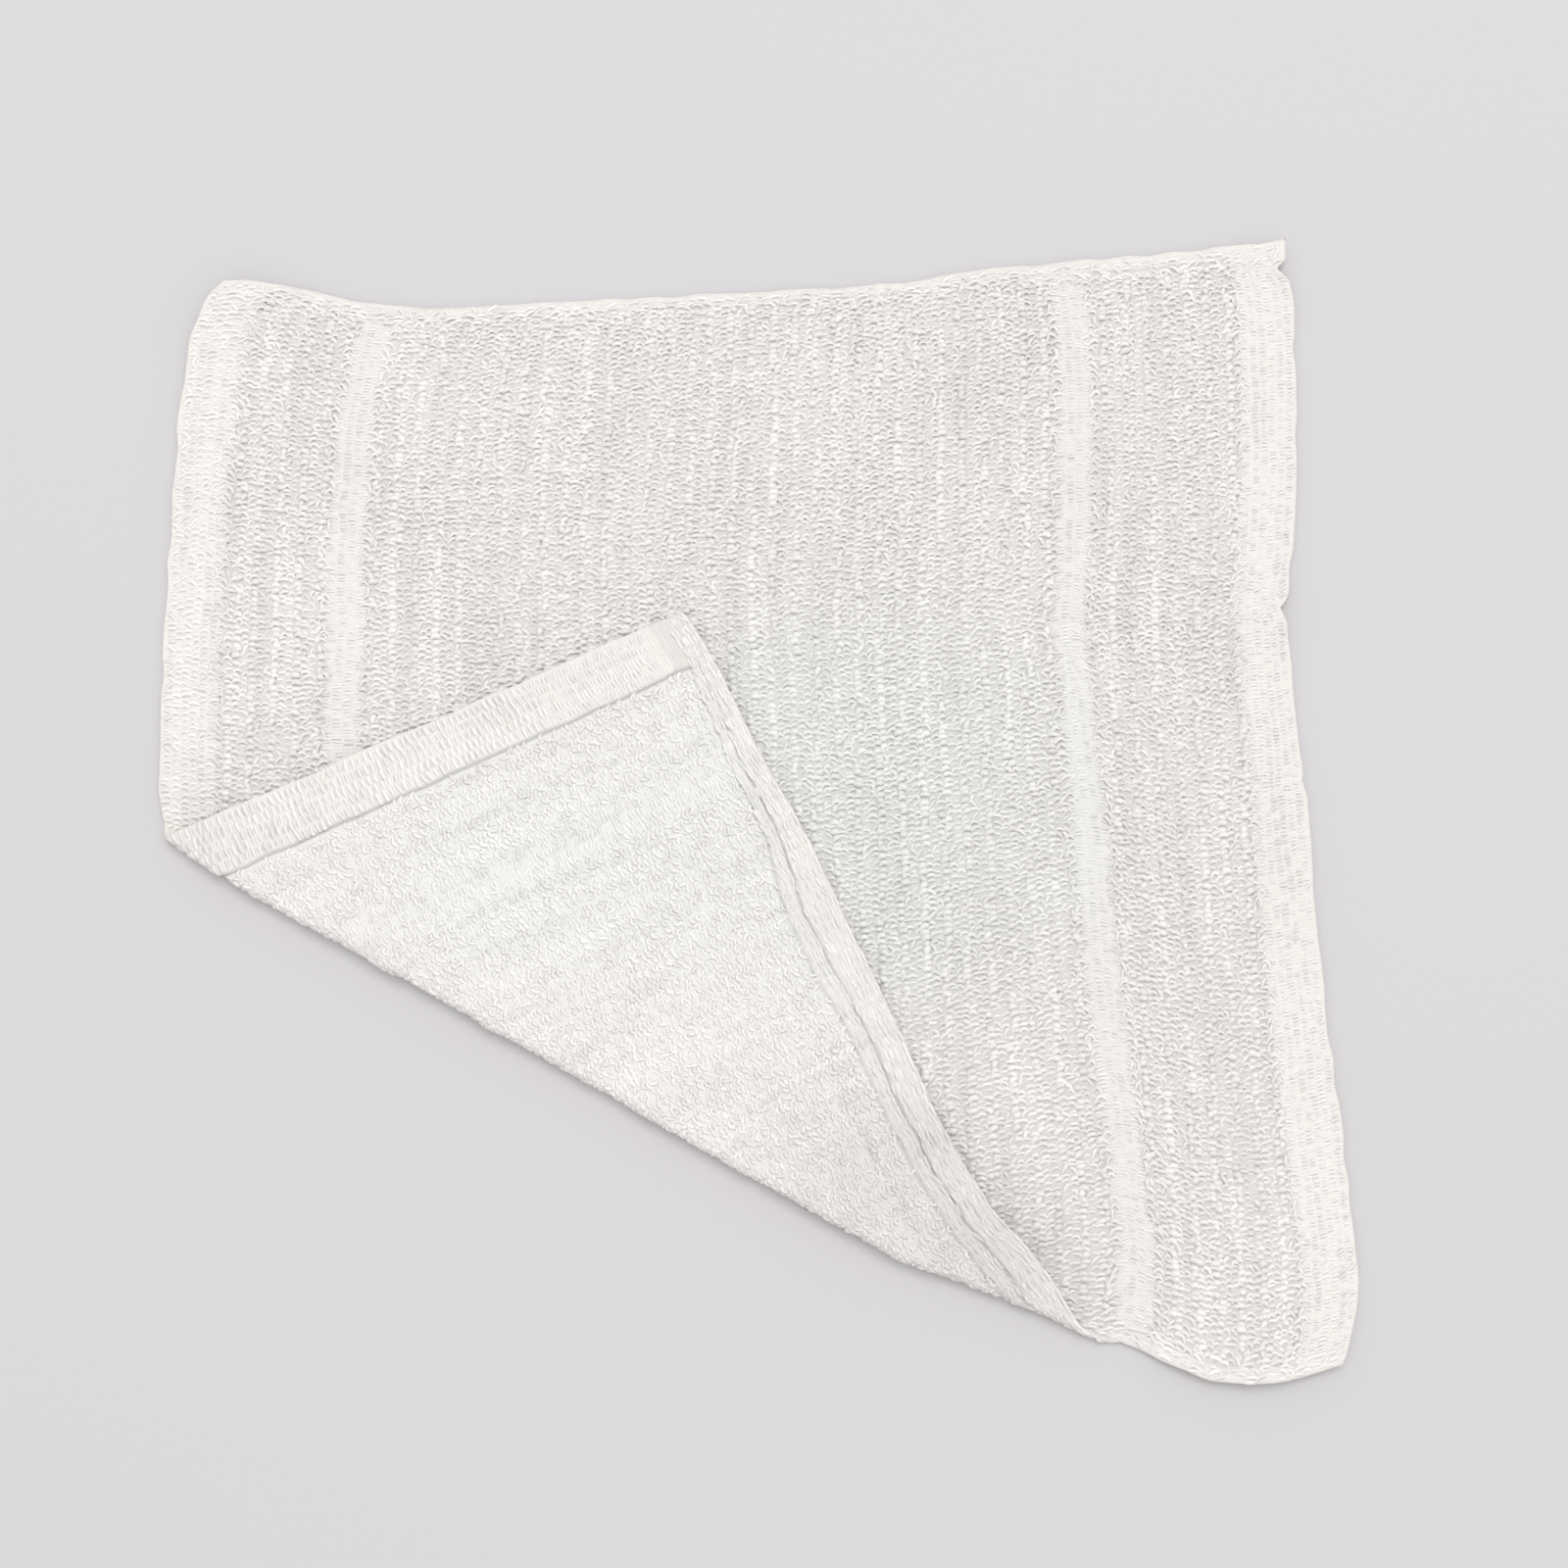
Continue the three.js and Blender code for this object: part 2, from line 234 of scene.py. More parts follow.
def blend(low, high, value):
    """A smooth step from 0 at low to 1 at high."""
    t = np.clip((value - low) / (high - low), 0, 1)
    return t * t * (3 - 2 * t)


def mix(start, end, share):
    return start + (end - start) * share


def along_table(table, value):
    """A smooth run through a table of places and numbers."""
    total = np.full(np.shape(value), float(table[0][1]))
    for (low, start), (high, end) in zip(table, table[1:]):
        total = total + (end - start) * blend(low, high, value)
    return total


def humps(place, table):
    """The height at each place of a table of round humps."""
    return sum(rise * np.exp(-((place[..., 0] - x) ** 2 + (place[..., 1] - y) ** 2) / reach**2)
               for x, y, reach, rise in table)


def soft_noise(x, y, size, seed):
    """Smooth noise from -1 to 1, with humps of the given size."""
    lattice = np.random.default_rng(seed).uniform(-1, 1, (NOISE_CELLS, NOISE_CELLS))
    cell_x, cell_y = np.floor(x / size).astype(int), np.floor(y / size).astype(int)
    share_x, share_y = blend(0, 1, x / size - cell_x), blend(0, 1, y / size - cell_y)

    def corner(right, up):
        return lattice[(cell_x + right) % NOISE_CELLS, (cell_y + up) % NOISE_CELLS]

    lower = mix(corner(0, 0), corner(1, 0), share_x)
    upper = mix(corner(0, 1), corner(1, 1), share_x)
    return mix(lower, upper, share_y)


# How the flat cloth lies on the floor.

FOLD_RUN = math.hypot(FOLD_ALONG_BOTTOM, CLOTH_DOWN - FOLD_DOWN_LEFT)
FOLD_X = FOLD_ALONG_BOTTOM / FOLD_RUN
FOLD_Y = (CLOTH_DOWN - FOLD_DOWN_LEFT) / FOLD_RUN
ROLL_DOWN = ROLL_HALF / FOLD_X
CORNER_ACROSS = (CLOTH_DOWN - ROLL_DOWN - FOLD_DOWN_LEFT) * FOLD_X / FOLD_Y
ROLL_ACROSS = 2 * FOLD_ALONG_BOTTOM - CORNER_ACROSS
FLAP_REST = CLOTH_THICK + RIB_RISE + LAYER_GAP + CLOTH_THICK
FOLD_CURVE = smooth_curve(FOLD_LINE)


def fold_place(across, down):
    """Where a point of the flat cloth is along the fold line, and how far past it."""
    from_start = down - FOLD_DOWN_LEFT
    return across * FOLD_X + from_start * FOLD_Y, from_start * FOLD_X - across * FOLD_Y


def fold_down(across):
    return FOLD_DOWN_LEFT + across * FOLD_Y / FOLD_X


def roll_at(along):
    """The roll's axis, its outward direction and its radius, at places along the fold."""
    share = np.clip((along + FOLD_LEAD) / (FOLD_RUN + 2 * FOLD_LEAD), 0, 1)
    steps = (-TANGENT_STEP, TANGENT_STEP)
    before, after = (on_curve(FOLD_CURVE, np.clip(share + step, 0, 1)) for step in steps)
    ahead = after - before
    ahead /= np.linalg.norm(ahead, axis=-1, keepdims=True)
    out = np.stack([ahead[..., 1], -ahead[..., 0]], axis=-1)
    radius = along_table(ROLL_RADIUS, along)
    return on_curve(FOLD_CURVE, share) - out * radius[..., None], out, radius


def roll_axis(across, down):
    return roll_at(np.array(fold_place(across, down)[0]))[0]


TOP_CURVE = smooth_curve((TOP_LEFT, *TOP_EDGE, TOP_RIGHT))
LEFT_CURVE = smooth_curve((TOP_LEFT, *LEFT_EDGE, roll_axis(0, FOLD_DOWN_LEFT - ROLL_DOWN)))
RIGHT_CURVE = smooth_curve((TOP_RIGHT, *RIGHT_EDGE, BOTTOM_RIGHT))
BOTTOM_CURVE = smooth_curve((roll_axis(ROLL_ACROSS, CLOTH_DOWN), *BOTTOM_EDGE, BOTTOM_RIGHT))
FLAP_CURVE = smooth_curve((FLAP_TIP, *FLAP_EDGE, roll_axis(CORNER_ACROSS, CLOTH_DOWN)))


def base_end(across):
    """How far down the flat part of the cloth goes."""
    return np.minimum(CLOTH_DOWN, fold_down(across) - ROLL_DOWN)


def base_place(across, down):
    """The flat part: a patch between the four edges, with the fold as part of the lower one."""
    low = base_end(across)
    along = (across / CLOTH_ACROSS)[..., None]
    fall = np.clip(down / low, 0, 1)[..., None]
    on_roll = roll_axis(across, low)
    on_bottom = on_curve(BOTTOM_CURVE, (across - ROLL_ACROSS) / (CLOTH_ACROSS - ROLL_ACROSS))
    lower = np.where((across >= ROLL_ACROSS)[..., None], on_bottom, on_roll)
    top, left, right = (on_curve(curve, share[..., 0]) for curve, share in
                        ((TOP_CURVE, along), (LEFT_CURVE, fall), (RIGHT_CURVE, fall)))
    corners = [curve[0][end] for curve, end in
               ((TOP_CURVE, 0), (TOP_CURVE, -1), (LEFT_CURVE, -1), (RIGHT_CURVE, -1))]
    bilinear = mix(mix(corners[0], corners[1], along), mix(corners[2], corners[3], along), fall)
    return mix(top, lower, fall) + mix(left, right, along) - bilinear


def flap_place(across, down):
    """The folded corner: straight threads from the roll to the free edge."""
    start = fold_down(across) + ROLL_DOWN
    share = np.clip((down - start) / np.maximum(CLOTH_DOWN - start, NEAR), 0, 1)[..., None]
    edge = on_curve(FLAP_CURVE, np.clip(across / CORNER_ACROSS, 0, 1))
    return mix(roll_axis(across, start), edge, share)


def lay(across, down):
    """The middle of the cloth where it lies, for arrays of flat places."""
    along, past = fold_place(across, down)
    flat = base_place(across, down)
    rise = humps(flat, LIFTS) * blend(0, LIFT_FADE, -past - ROLL_HALF)
    base = np.concatenate([flat, (rise + CLOTH_THICK / 2)[..., None]], axis=-1)

    centre, out, radius = roll_at(along)
    turn = np.clip((past + ROLL_HALF) / (2 * ROLL_HALF), 0, 1) * math.pi
    reach = radius - CLOTH_THICK / 2
    roll = np.concatenate([centre + out * (reach * np.sin(turn))[..., None],
                           (radius - reach * np.cos(turn))[..., None]], axis=-1)

    over = flap_place(across, down)
    settle = np.exp(-((past - ROLL_HALF) / SETTLE_REACH) ** 2)
    height = mix(FLAP_REST + humps(over, FLAP_SWELLS), 2 * radius, settle) - CLOTH_THICK / 2
    flap = np.concatenate([over, height[..., None]], axis=-1)

    flat_part = (past <= -ROLL_HALF) | (base_end(across) >= CLOTH_DOWN)
    return np.where(flat_part[..., None], base, np.where((past < ROLL_HALF)[..., None], roll, flap))


def creased(across, down):
    """The height of the creases at flat places."""
    height = np.zeros(np.shape(across))
    for across_0, down_0, across_1, down_1, width, rise in CREASES:
        run = np.array((across_1 - across_0, down_1 - down_0))
        share = ((across - across_0) * run[0] + (down - down_0) * run[1]) / (run @ run)
        nearest = np.clip(share, 0, 1)
        off = np.hypot(across - across_0 - nearest * run[0], down - down_0 - nearest * run[1])
        ends = blend(0, CREASE_FADE, nearest) * blend(0, CREASE_FADE, 1 - nearest)
        height += rise * np.exp(-((off / width) ** 2)) * ends
    return height


def uneven(points, across, down):
    """The cloth with its creases, its slow waves, the wander of its threads and the notches of its edge."""
    waves = soft_noise(across, down, WAVE_SIZE, WAVE_SEED) * 0.5 + 0.5
    lifted = points.copy()
    lifted[..., 2] += creased(across, down) + WAVE_RISE * waves
    for axis, seed in enumerate(WANDER_SEEDS):
        lifted[..., axis] += WANDER * soft_noise(across, down, WANDER_SIZE, seed)
    for notch_down, half_width, depth in NOTCHES:
        near = np.exp(-(((down - notch_down) / half_width) ** 2))
        lifted[..., 0] -= depth * near * blend(CLOTH_ACROSS - HEM_WIDTH, CLOTH_ACROSS, across)
    return lifted


# The ground sheet: a grid of columns from hem to hem, with rows that follow the fold. Columns are given by
# where each stretch ends and its number of steps.

COLUMN_STOPS = ((1.2, 4), (14.6, 9), (17.6, 8), (43, 13), (54, 8), (237.5, 78), (248.5, 8), (287.4, 19),
                (290.4, 8), (303.8, 9), (305, 4))
EDGE_ROWS = 20
EDGE_ROWS_REACH = 9.8
BASE_ROWS = 140
ROLL_ROWS = 14
FLAP_ROWS = 40
FLAP_EDGE_ROWS = 38
FLAP_EDGE_REACH = 14.4


def stepped(start, end, steps):
    """Even steps from start to end, without the first, as a row for each column."""
    return start[:, None] + (end - start)[:, None] * np.arange(1, steps + 1) / steps


def cloth_grid():
    """The flat places of the grid's points, by column and row."""
    columns = [np.array([0.0])]
    for stop, steps in COLUMN_STOPS:
        columns.append(np.linspace(columns[-1][-1], stop, steps + 1)[1:])
    across = np.concatenate(columns)
    low = base_end(across)
    start = np.minimum(fold_down(across) + ROLL_DOWN, CLOTH_DOWN)
    last = np.maximum(start, CLOTH_DOWN - FLAP_EDGE_REACH)
    zero = np.zeros_like(across)
    down = np.hstack([
        zero[:, None],
        stepped(zero, zero + EDGE_ROWS_REACH, EDGE_ROWS),
        stepped(zero + EDGE_ROWS_REACH, low - EDGE_ROWS_REACH, BASE_ROWS),
        stepped(low - EDGE_ROWS_REACH, low, EDGE_ROWS),
        stepped(low, start, ROLL_ROWS),
        stepped(start, last, FLAP_ROWS),
        stepped(last, zero + CLOTH_DOWN, FLAP_EDGE_ROWS),
    ])
    return np.broadcast_to(across[:, None], down.shape), down


def facing(points):
    """The direction that the face side looks, at each point of a grid."""
    by_across = np.gradient(points, axis=0)
    by_down = np.gradient(points, axis=1)
    normal = np.cross(by_down, by_across)
    return normal / np.maximum(np.linalg.norm(normal, axis=-1, keepdims=True), TINY)


def selvedge_place(across, down, side):
    """How far in from the selvedge a flat place is, as it would be without the taper."""
    from_selvedge = np.minimum(down, CLOTH_DOWN - down)
    return np.where(np.equal(side, BACK), from_selvedge / along_table(SELVEDGE_TAPER, across), from_selvedge)


def within(width, step, distance):
    """1 in a zone of the given width, 0 past it and a smooth step between."""
    return 1 - blend(width + step[0], width + step[1], distance)


def zones(across, down, side):
    """How far each flat place belongs to a hem, a plain band and a selvedge, from 0 to 1."""
    from_hem = np.minimum(across, CLOTH_ACROSS - across)
    from_selvedge = selvedge_place(across, down, side)
    from_band = np.min([np.abs(across - centre) for centre in BAND_CENTRES], axis=0)
    hem = within(HEM_WIDTH, HEM_STEP, from_hem)
    band = within(BAND_WIDTH / 2, ZONE_STEP, from_band)
    selvedge = within(np.take(SELVEDGE_WIDTHS, side), ZONE_STEP, from_selvedge)
    return hem, band, selvedge


def grooves(across, down):
    """How far each flat place of the back is in a groove, from 0 to 1, and how dark it is painted there:
    painted shade in the grooves, and the greyer doubled corner.
    """
    from_hem = np.minimum(across, CLOTH_ACROSS - across)
    from_selvedge = selvedge_place(across, down, BACK)
    share = np.zeros(np.shape(across))
    shade = np.zeros(np.shape(across))
    lines = [(from_hem - HEM_GROOVE[0], HEM_GROOVE[1], from_selvedge - SELVEDGE_GROOVES[0][0])]
    lines += [(from_selvedge - place, dark, from_hem - HEM_GROOVE[0]) for place, dark in SELVEDGE_GROOVES]
    for off, dark, from_corner in lines:
        here = np.exp(-((off / GROOVE_WIDTH) ** 2)) * blend(-GROOVE_END, GROOVE_END, from_corner)
        share = np.maximum(share, here)
        shade = np.maximum(shade, here * dark)
    corner = (from_hem < HEM_WIDTH) & (from_selvedge < CORNER_REACH)
    return share, np.maximum(shade, CORNER_SHADE * corner)


def half_thickness(across, down, side):
    """Half the thickness of the ground on one side."""
    hem, band, selvedge = zones(across, down, side)
    from_hem = np.minimum(across, CLOTH_ACROSS - across)
    from_selvedge = np.minimum(down, CLOTH_DOWN - down)
    ridge = SELVEDGE_RIDGE * np.cos(2 * math.pi * from_selvedge / SELVEDGE_RIDGE_PITCH)
    half = mix(GROUND_HALF[side], BAND_HALF[side], band)
    half = mix(half, SELVEDGE_HALF[side] + ridge, selvedge)
    half = mix(half, HEM_HALF[side] + 0.5 * ridge * selvedge, hem)
    if side == BACK:
        half = np.maximum(half - GROOVE_DEPTH * grooves(across, down)[0], GROOVE_FLOOR)
    from_edge = np.minimum(from_hem, from_selvedge)
    rounded = np.clip(from_edge / EDGE_ROUND, 0, 1)
    return half * np.sqrt(1 - (1 - rounded) ** 2)


def mesh_of(name, keys, points, quads):
    """A mesh with a vertex for each different key and a UV map of flat places, and the points it keeps."""
    _, first, index = np.unique(np.round(keys, KEY_DECIMALS), axis=0, return_index=True, return_inverse=True)
    index = index.ravel()
    faces = []
    for quad in index[quads].tolist():
        face = [vertex for vertex, before in zip(quad, quad[-1:] + quad[:-1]) if vertex != before]
        if len(set(face)) > 2:
            faces.append(face)
    mesh = bpy.data.meshes.new(name)
    mesh.from_pydata((points[first] * MM).tolist(), [], faces)
    corners = np.empty(len(mesh.loops), np.int32)
    mesh.loops.foreach_get("vertex_index", corners)
    flat = keys[first][:, :2] / (CLOTH_ACROSS, CLOTH_DOWN)
    mesh.uv_layers.new(name="flat").data.foreach_set("uv", flat[corners].astype(np.float32).ravel())
    mesh.polygons.foreach_set("use_smooth", np.ones(len(mesh.polygons), bool))
    mesh.update()
    return mesh, first


def grid_quads(columns, rows):
    """The corners of each cell of a grid, turned so that the face side looks out."""
    place = np.arange(columns * rows).reshape(columns, rows)
    corners = (place[:-1, :-1], place[:-1, 1:], place[1:, 1:], place[1:, :-1])
    return np.stack([corner.ravel() for corner in corners], axis=-1)


# Node trees.

class Num:
    """A number in a node tree, with arithmetic that adds Math nodes."""

    def __init__(self, tree, socket):
        self.tree = tree
        self.socket = socket

    def math(self, operation, *others):
        node = self.tree.nodes.new("ShaderNodeMath")
        node.operation = operation
        for socket, value in zip(node.inputs, (self, *others)):
            feed(self.tree, socket, value)
        return Num(self.tree, node.outputs[0])

    def __add__(self, other):
        return self.math("ADD", other)

    def __sub__(self, other):
        return self.math("SUBTRACT", other)

    def __mul__(self, other):
        return self.math("MULTIPLY", other)

    def __truediv__(self, other):
        return self.math("DIVIDE", other)

    def __pow__(self, other):
        return self.math("POWER", other)

    def mixed(self, start, end):
        """start where this number is 0, and end where it is 1."""
        return self * (end - start) + start


def feed(tree, socket, value):
    """Links a value into a socket, or sets it there."""
    if isinstance(value, Num):
        value = value.socket
    if isinstance(value, bpy.types.NodeSocket):
        tree.links.new(value, socket)
    else:
        socket.default_value = value


def new_node(tree, kind, inputs=None, **settings):
    """A new node with its settings and inputs."""
    node = tree.nodes.new(kind)
    for name, value in settings.items():
        setattr(node, name, value)
    for name, value in (inputs or {}).items():
        feed(tree, node.inputs[name], value)
    return node


def add(tree, kind, inputs=None, **settings):
    """The first output of a new node."""
    return new_node(tree, kind, inputs, **settings).outputs[0]


def attribute(tree, name):
    """A number stored on the mesh."""
    return Num(tree, new_node(tree, "ShaderNodeAttribute", attribute_name=name).outputs["Fac"])


def vector(tree, x, y, z):
    return add(tree, "ShaderNodeCombineXYZ", {"X": x, "Y": y, "Z": z})


def first_two(tree, value):
    """The first two numbers of a vector."""
    split = new_node(tree, "ShaderNodeSeparateXYZ", {"Vector": value})
    return Num(tree, split.outputs[0]), Num(tree, split.outputs[1])


def scaled(tree, value, factor):
    """A vector or a colour times a number."""
    node = new_node(tree, "ShaderNodeVectorMath", {"Scale": factor}, operation="SCALE")
    feed(tree, node.inputs[0], value)
    return node.outputs[0]


def noise(tree, x, y, z, detail=0.0):
    """Smooth noise around 0, from about -0.5 to 0.5."""
    node = add(tree, "ShaderNodeTexNoise", {"Vector": vector(tree, x, y, z), "Scale": 1.0, "Detail": detail})
    return Num(tree, node) - 0.5


def new_tree(name, kind, inputs, outputs):
    """A node group with named sockets: the tree, its inputs by name and its output node."""
    tree = bpy.data.node_groups.new(name, kind)
    for in_out, sockets in (("INPUT", inputs), ("OUTPUT", outputs)):
        for socket_name, socket_type in sockets.items():
            tree.interface.new_socket(socket_name, in_out=in_out, socket_type=socket_type)
    entry = tree.nodes.new("NodeGroupInput")
    given = {socket.name: Num(tree, socket) for socket in entry.outputs if socket.name}
    return tree, given, tree.nodes.new("NodeGroupOutput")


FLOAT = "NodeSocketFloat"
GEOMETRY = "NodeSocketGeometry"


def on_cloth_tree():
    """Moves curves drawn on the flat cloth onto the cloth where it lies, at a height over its middle."""
    tree, given, end = new_tree(
        "On the cloth", "GeometryNodeTree",
        {"Cloth": GEOMETRY, "Curves": GEOMETRY, "Across": FLOAT, "Down": FLOAT, "Height": FLOAT},
        {"Curves": GEOMETRY})
    uv = add(tree, "GeometryNodeInputNamedAttribute", {"Name": "flat"}, data_type="FLOAT_VECTOR")
    place = vector(tree, given["Across"] / (CLOTH_ACROSS * MM), given["Down"] / (CLOTH_DOWN * MM), 0.0)

    def sampled(kind):
        return add(tree, "GeometryNodeSampleUVSurface",
                   {"Mesh": given["Cloth"], "Value": add(tree, kind), "UV Map": uv, "Sample UV": place},
                   data_type="FLOAT_VECTOR")

    moved = add(tree, "GeometryNodeSetPosition",
                {"Geometry": given["Curves"], "Position": sampled("GeometryNodeInputPosition"),
                 "Offset": scaled(tree, sampled("GeometryNodeInputNormal"), given["Height"])})
    feed(tree, end.inputs[0], moved)
    return tree


ON_CLOTH = on_cloth_tree()


def inside(place, size):
    """A place that stays on the cloth."""
    return place.math("MAXIMUM", EDGE_CLEARANCE * MM).math("MINIMUM", (size - EDGE_CLEARANCE) * MM)


def yarn_mesh(tree, given, end, curves, across, down, height, radius, tone):
    """Ends a tree: the curves go onto the cloth, get their thickness and their material."""
    toned = add(tree, "GeometryNodeStoreNamedAttribute",
                {"Geometry": curves, "Name": "yarn_tone", "Value": tone})
    laid = new_node(tree, "GeometryNodeGroup", node_tree=ON_CLOTH)
    for name, value in (("Cloth", given["Cloth"]), ("Curves", toned),
                        ("Across", inside(across, CLOTH_ACROSS)), ("Down", inside(down, CLOTH_DOWN)),
                        ("Height", height)):
        feed(tree, laid.inputs[name], value)
    ring = add(tree, "GeometryNodeCurvePrimitiveCircle", {"Resolution": YARN_SIDES, "Radius": 1.0})
    turned = add(tree, "GeometryNodeTransform", {"Geometry": ring, "Rotation": EDGE_UP})
    section = add(tree, "GeometryNodeTransform", {"Geometry": turned, "Scale": (1.0, YARN_FLATNESS, 1.0)})
    upright = add(tree, "GeometryNodeSetCurveNormal", {"Curve": laid.outputs[0]}, mode="Z_UP")
    tube = add(tree, "GeometryNodeCurveToMesh",
               {"Curve": upright, "Profile Curve": section, "Scale": radius, "Fill Caps": True})
    smooth = add(tree, "GeometryNodeSetShadeSmooth", {"Geometry": tube})
    real = add(tree, "GeometryNodeRealizeInstances", {"Geometry": smooth})
    painted = add(tree, "GeometryNodeSetMaterial", {"Geometry": real, "Material": given["Material"]})
    feed(tree, end.inputs[0], painted)


def past_fold(across, down):
    return (down - FOLD_DOWN_LEFT * MM) * FOLD_X - across * FOLD_Y


def chance(tree, curve, seed, low, high):
    """A random number for each curve."""
    node = new_node(tree, "FunctionNodeRandomValue", data_type="FLOAT")
    for socket, value in zip([socket for socket in node.inputs if socket.enabled], (low, high, curve, seed)):
        feed(tree, socket, value)
    return Num(tree, node.outputs[1])


def taper_shift(tree, across, down):
    """How far a place of the back moves towards the selvedge, where that is narrower."""
    share = 1.0 - SELVEDGE_TAPER[0][1]
    for (low, start), (high, end) in zip(SELVEDGE_TAPER, SELVEDGE_TAPER[1:]):
        limits = {"From Min": low * MM, "From Max": high * MM, "To Min": 0.0, "To Max": start - end}
        step = add(tree, "ShaderNodeMapRange", {"Value": across, **limits}, interpolation_type="SMOOTHSTEP")
        share = Num(tree, step) + share
    return (down * -1.0 + CLOTH_DOWN * MM).math("MINIMUM", TAPER_REACH * MM) * share


def pile_tree():
    """Loops of yarn over one field of the cloth, in ribs and rows.

    A loop is an arch across its rib, bowed at its ends and thinner there. One rib in RIB_CYCLE takes the fat
    radius and height and lies half a row lower, and the ribs between take the thin ones.
    """
    numbers = ("Field start", "Field end", "First row", "Row pitch", "Side", "From past", "To past", "Reach",
               "Fat radius", "Thin radius", "End radius", "Fat height", "Thin height", "End height", "Bow",
               "Stray", "Tilt", "Fullness", "Swell", "Pairing", "Taper", "Seed", "Drift seed")
    counts = ("Ribs", "Rows", "Steps")
    tree, given, end = new_tree(
        "Pile loops", "GeometryNodeTree",
        {"Cloth": GEOMETRY, **dict.fromkeys(counts, "NodeSocketInt"), **dict.fromkeys(numbers, FLOAT),
         "Material": "NodeSocketMaterial"},
        {"Pile": GEOMETRY})
    start, stop, seed = given["Field start"], given["Field end"], given["Seed"]
    rib_width = (stop - start) / given["Ribs"]
    first_rib = vector(tree, start + rib_width * 0.5, 0.0, 0.0)
    rib_points = add(tree, "GeometryNodeMeshLine",
                     {"Count": given["Ribs"], "Start Location": first_rib,
                      "Offset": vector(tree, rib_width, 0.0, 0.0)})
    row_points = add(tree, "GeometryNodeMeshLine",
                     {"Count": given["Rows"], "Start Location": vector(tree, 0.0, given["First row"], 0.0),
                      "Offset": vector(tree, 0.0, given["Row pitch"], 0.0)})
    rows = add(tree, "GeometryNodeInstanceOnPoints", {"Points": row_points, "Instance": rib_points})
    points = add(tree, "GeometryNodeRealizeInstances", {"Geometry": rows})
    length = rib_width * given["Reach"]
    line = add(tree, "GeometryNodeCurvePrimitiveLine",
               {"Start": vector(tree, length * -0.5, 0.0, 0.0), "End": vector(tree, length * 0.5, 0.0, 0.0)})
    arch = add(tree, "GeometryNodeResampleCurve", {"Curve": line, "Count": given["Steps"] + 1.0})
    copies = add(tree, "GeometryNodeInstanceOnPoints", {"Points": points, "Instance": arch})
    loops = add(tree, "GeometryNodeRealizeInstances", {"Geometry": copies})

    # The loops are still on the flat cloth here, so a point's position is its across and down.
    across, down = first_two(tree, add(tree, "GeometryNodeInputPosition"))
    curve = add(tree, "GeometryNodeCurveOfPoint")
    place = Num(tree, add(tree, "GeometryNodeSplineParameter")) - 0.5
    centre = across - place * length
    past = past_fold(centre, down)
    outside = past.math("LESS_THAN", given["From past"]) + past.math("GREATER_THAN", given["To past"])
    kept = add(tree, "GeometryNodeDeleteGeometry", {"Geometry": loops, "Selection": outside})

    rib = ((centre - start) / rib_width - 0.5).math("ROUND")
    fat = (rib / RIB_CYCLE).math("FRACT").math("LESS_THAN", 0.1)
    border = rib.math("LESS_THAN", 0.5) + rib.math("GREATER_THAN", given["Ribs"] - 1.5)

    def by_loop(layer, limits):
        """A random number for each loop."""
        return chance(tree, curve, seed + layer, *limits)

    def by_rib(step, run, layer, detail=0.0):
        """Noise that changes from rib to rib, and slowly down each rib."""
        return noise(tree, rib * step, down / (run * MM), given["Drift seed"] + layer, detail)

    def over_cloth(width, run, layer):
        """Noise that changes slowly over the cloth."""
        return noise(tree, centre / (width * MM), down / (run * MM), given["Drift seed"] + layer)

    # Where each point of a loop goes on the flat cloth. A few loops tilt much further than the rest.
    far = (place * 2.0).math("ABSOLUTE")
    odd = by_loop(10.0, (-1.0, 1.0))
    tilt = (odd * 0.5 + odd ** 9.0) * given["Tilt"] * (border * BORDER_TILT + 1.0)
    reach = place * length * by_loop(11.0, REACH_RANGE)
    bow = given["Bow"] * by_loop(12.0, BOW_RANGE) * (far * far)
    rib_drift = over_cloth(width=20, run=30, layer=0.0) * rib_width * 0.7
    row_drift = by_rib(step=5.3, run=40, layer=3.0) * given["Row pitch"] * 2.0
    pairing = (fat - 0.5) * given["Pairing"]
    stagger = fat * given["Row pitch"] * 0.5
    new_across = (centre + rib_drift + pairing + reach * tilt.math("COSINE")
                  + by_loop(13.0, STRAY_RANGE) * (given["Stray"] * (border * BORDER_STRAY + 1.0)))
    new_down = (down + stagger + row_drift + taper_shift(tree, centre, down) * given["Taper"]
                + reach * tilt.math("SINE") + bow + by_loop(14.0, STRAY_RANGE) * given["Stray"])

    # How high, how thick and how bright it is there.
    crown = far * far * -1.0 + 1.0
    dive = (far - DIVE_START).math("MAXIMUM", 0.0) / (1 - DIVE_START) * (DIVE_DEPTH * MM)
    lift = by_loop(15.0, [limit * MM for limit in HEIGHT_RANGE])
    swell = over_cloth(width=30, run=45, layer=9.0) * given["Swell"]
    middle_height = fat.mixed(given["Thin height"], given["Fat height"])
    height = crown.mixed(given["End height"], middle_height) - dive + lift + swell
    fullness = by_rib(step=9.1, run=60, layer=20.0) * given["Fullness"] + 1.0
    middle_radius = fat.mixed(given["Thin radius"], given["Fat radius"])
    radius = crown.mixed(given["End radius"], middle_radius) * fullness * by_loop(16.0, RADIUS_RANGE)
    tone = by_rib(step=0.53, run=70, layer=30.0, detail=2.0) * RIB_TONE + 0.5 + by_loop(17.0, TONE_RANGE)
    yarn_mesh(tree, given, end, kept, new_across, new_down, height * given["Side"], radius, tone)
    return tree


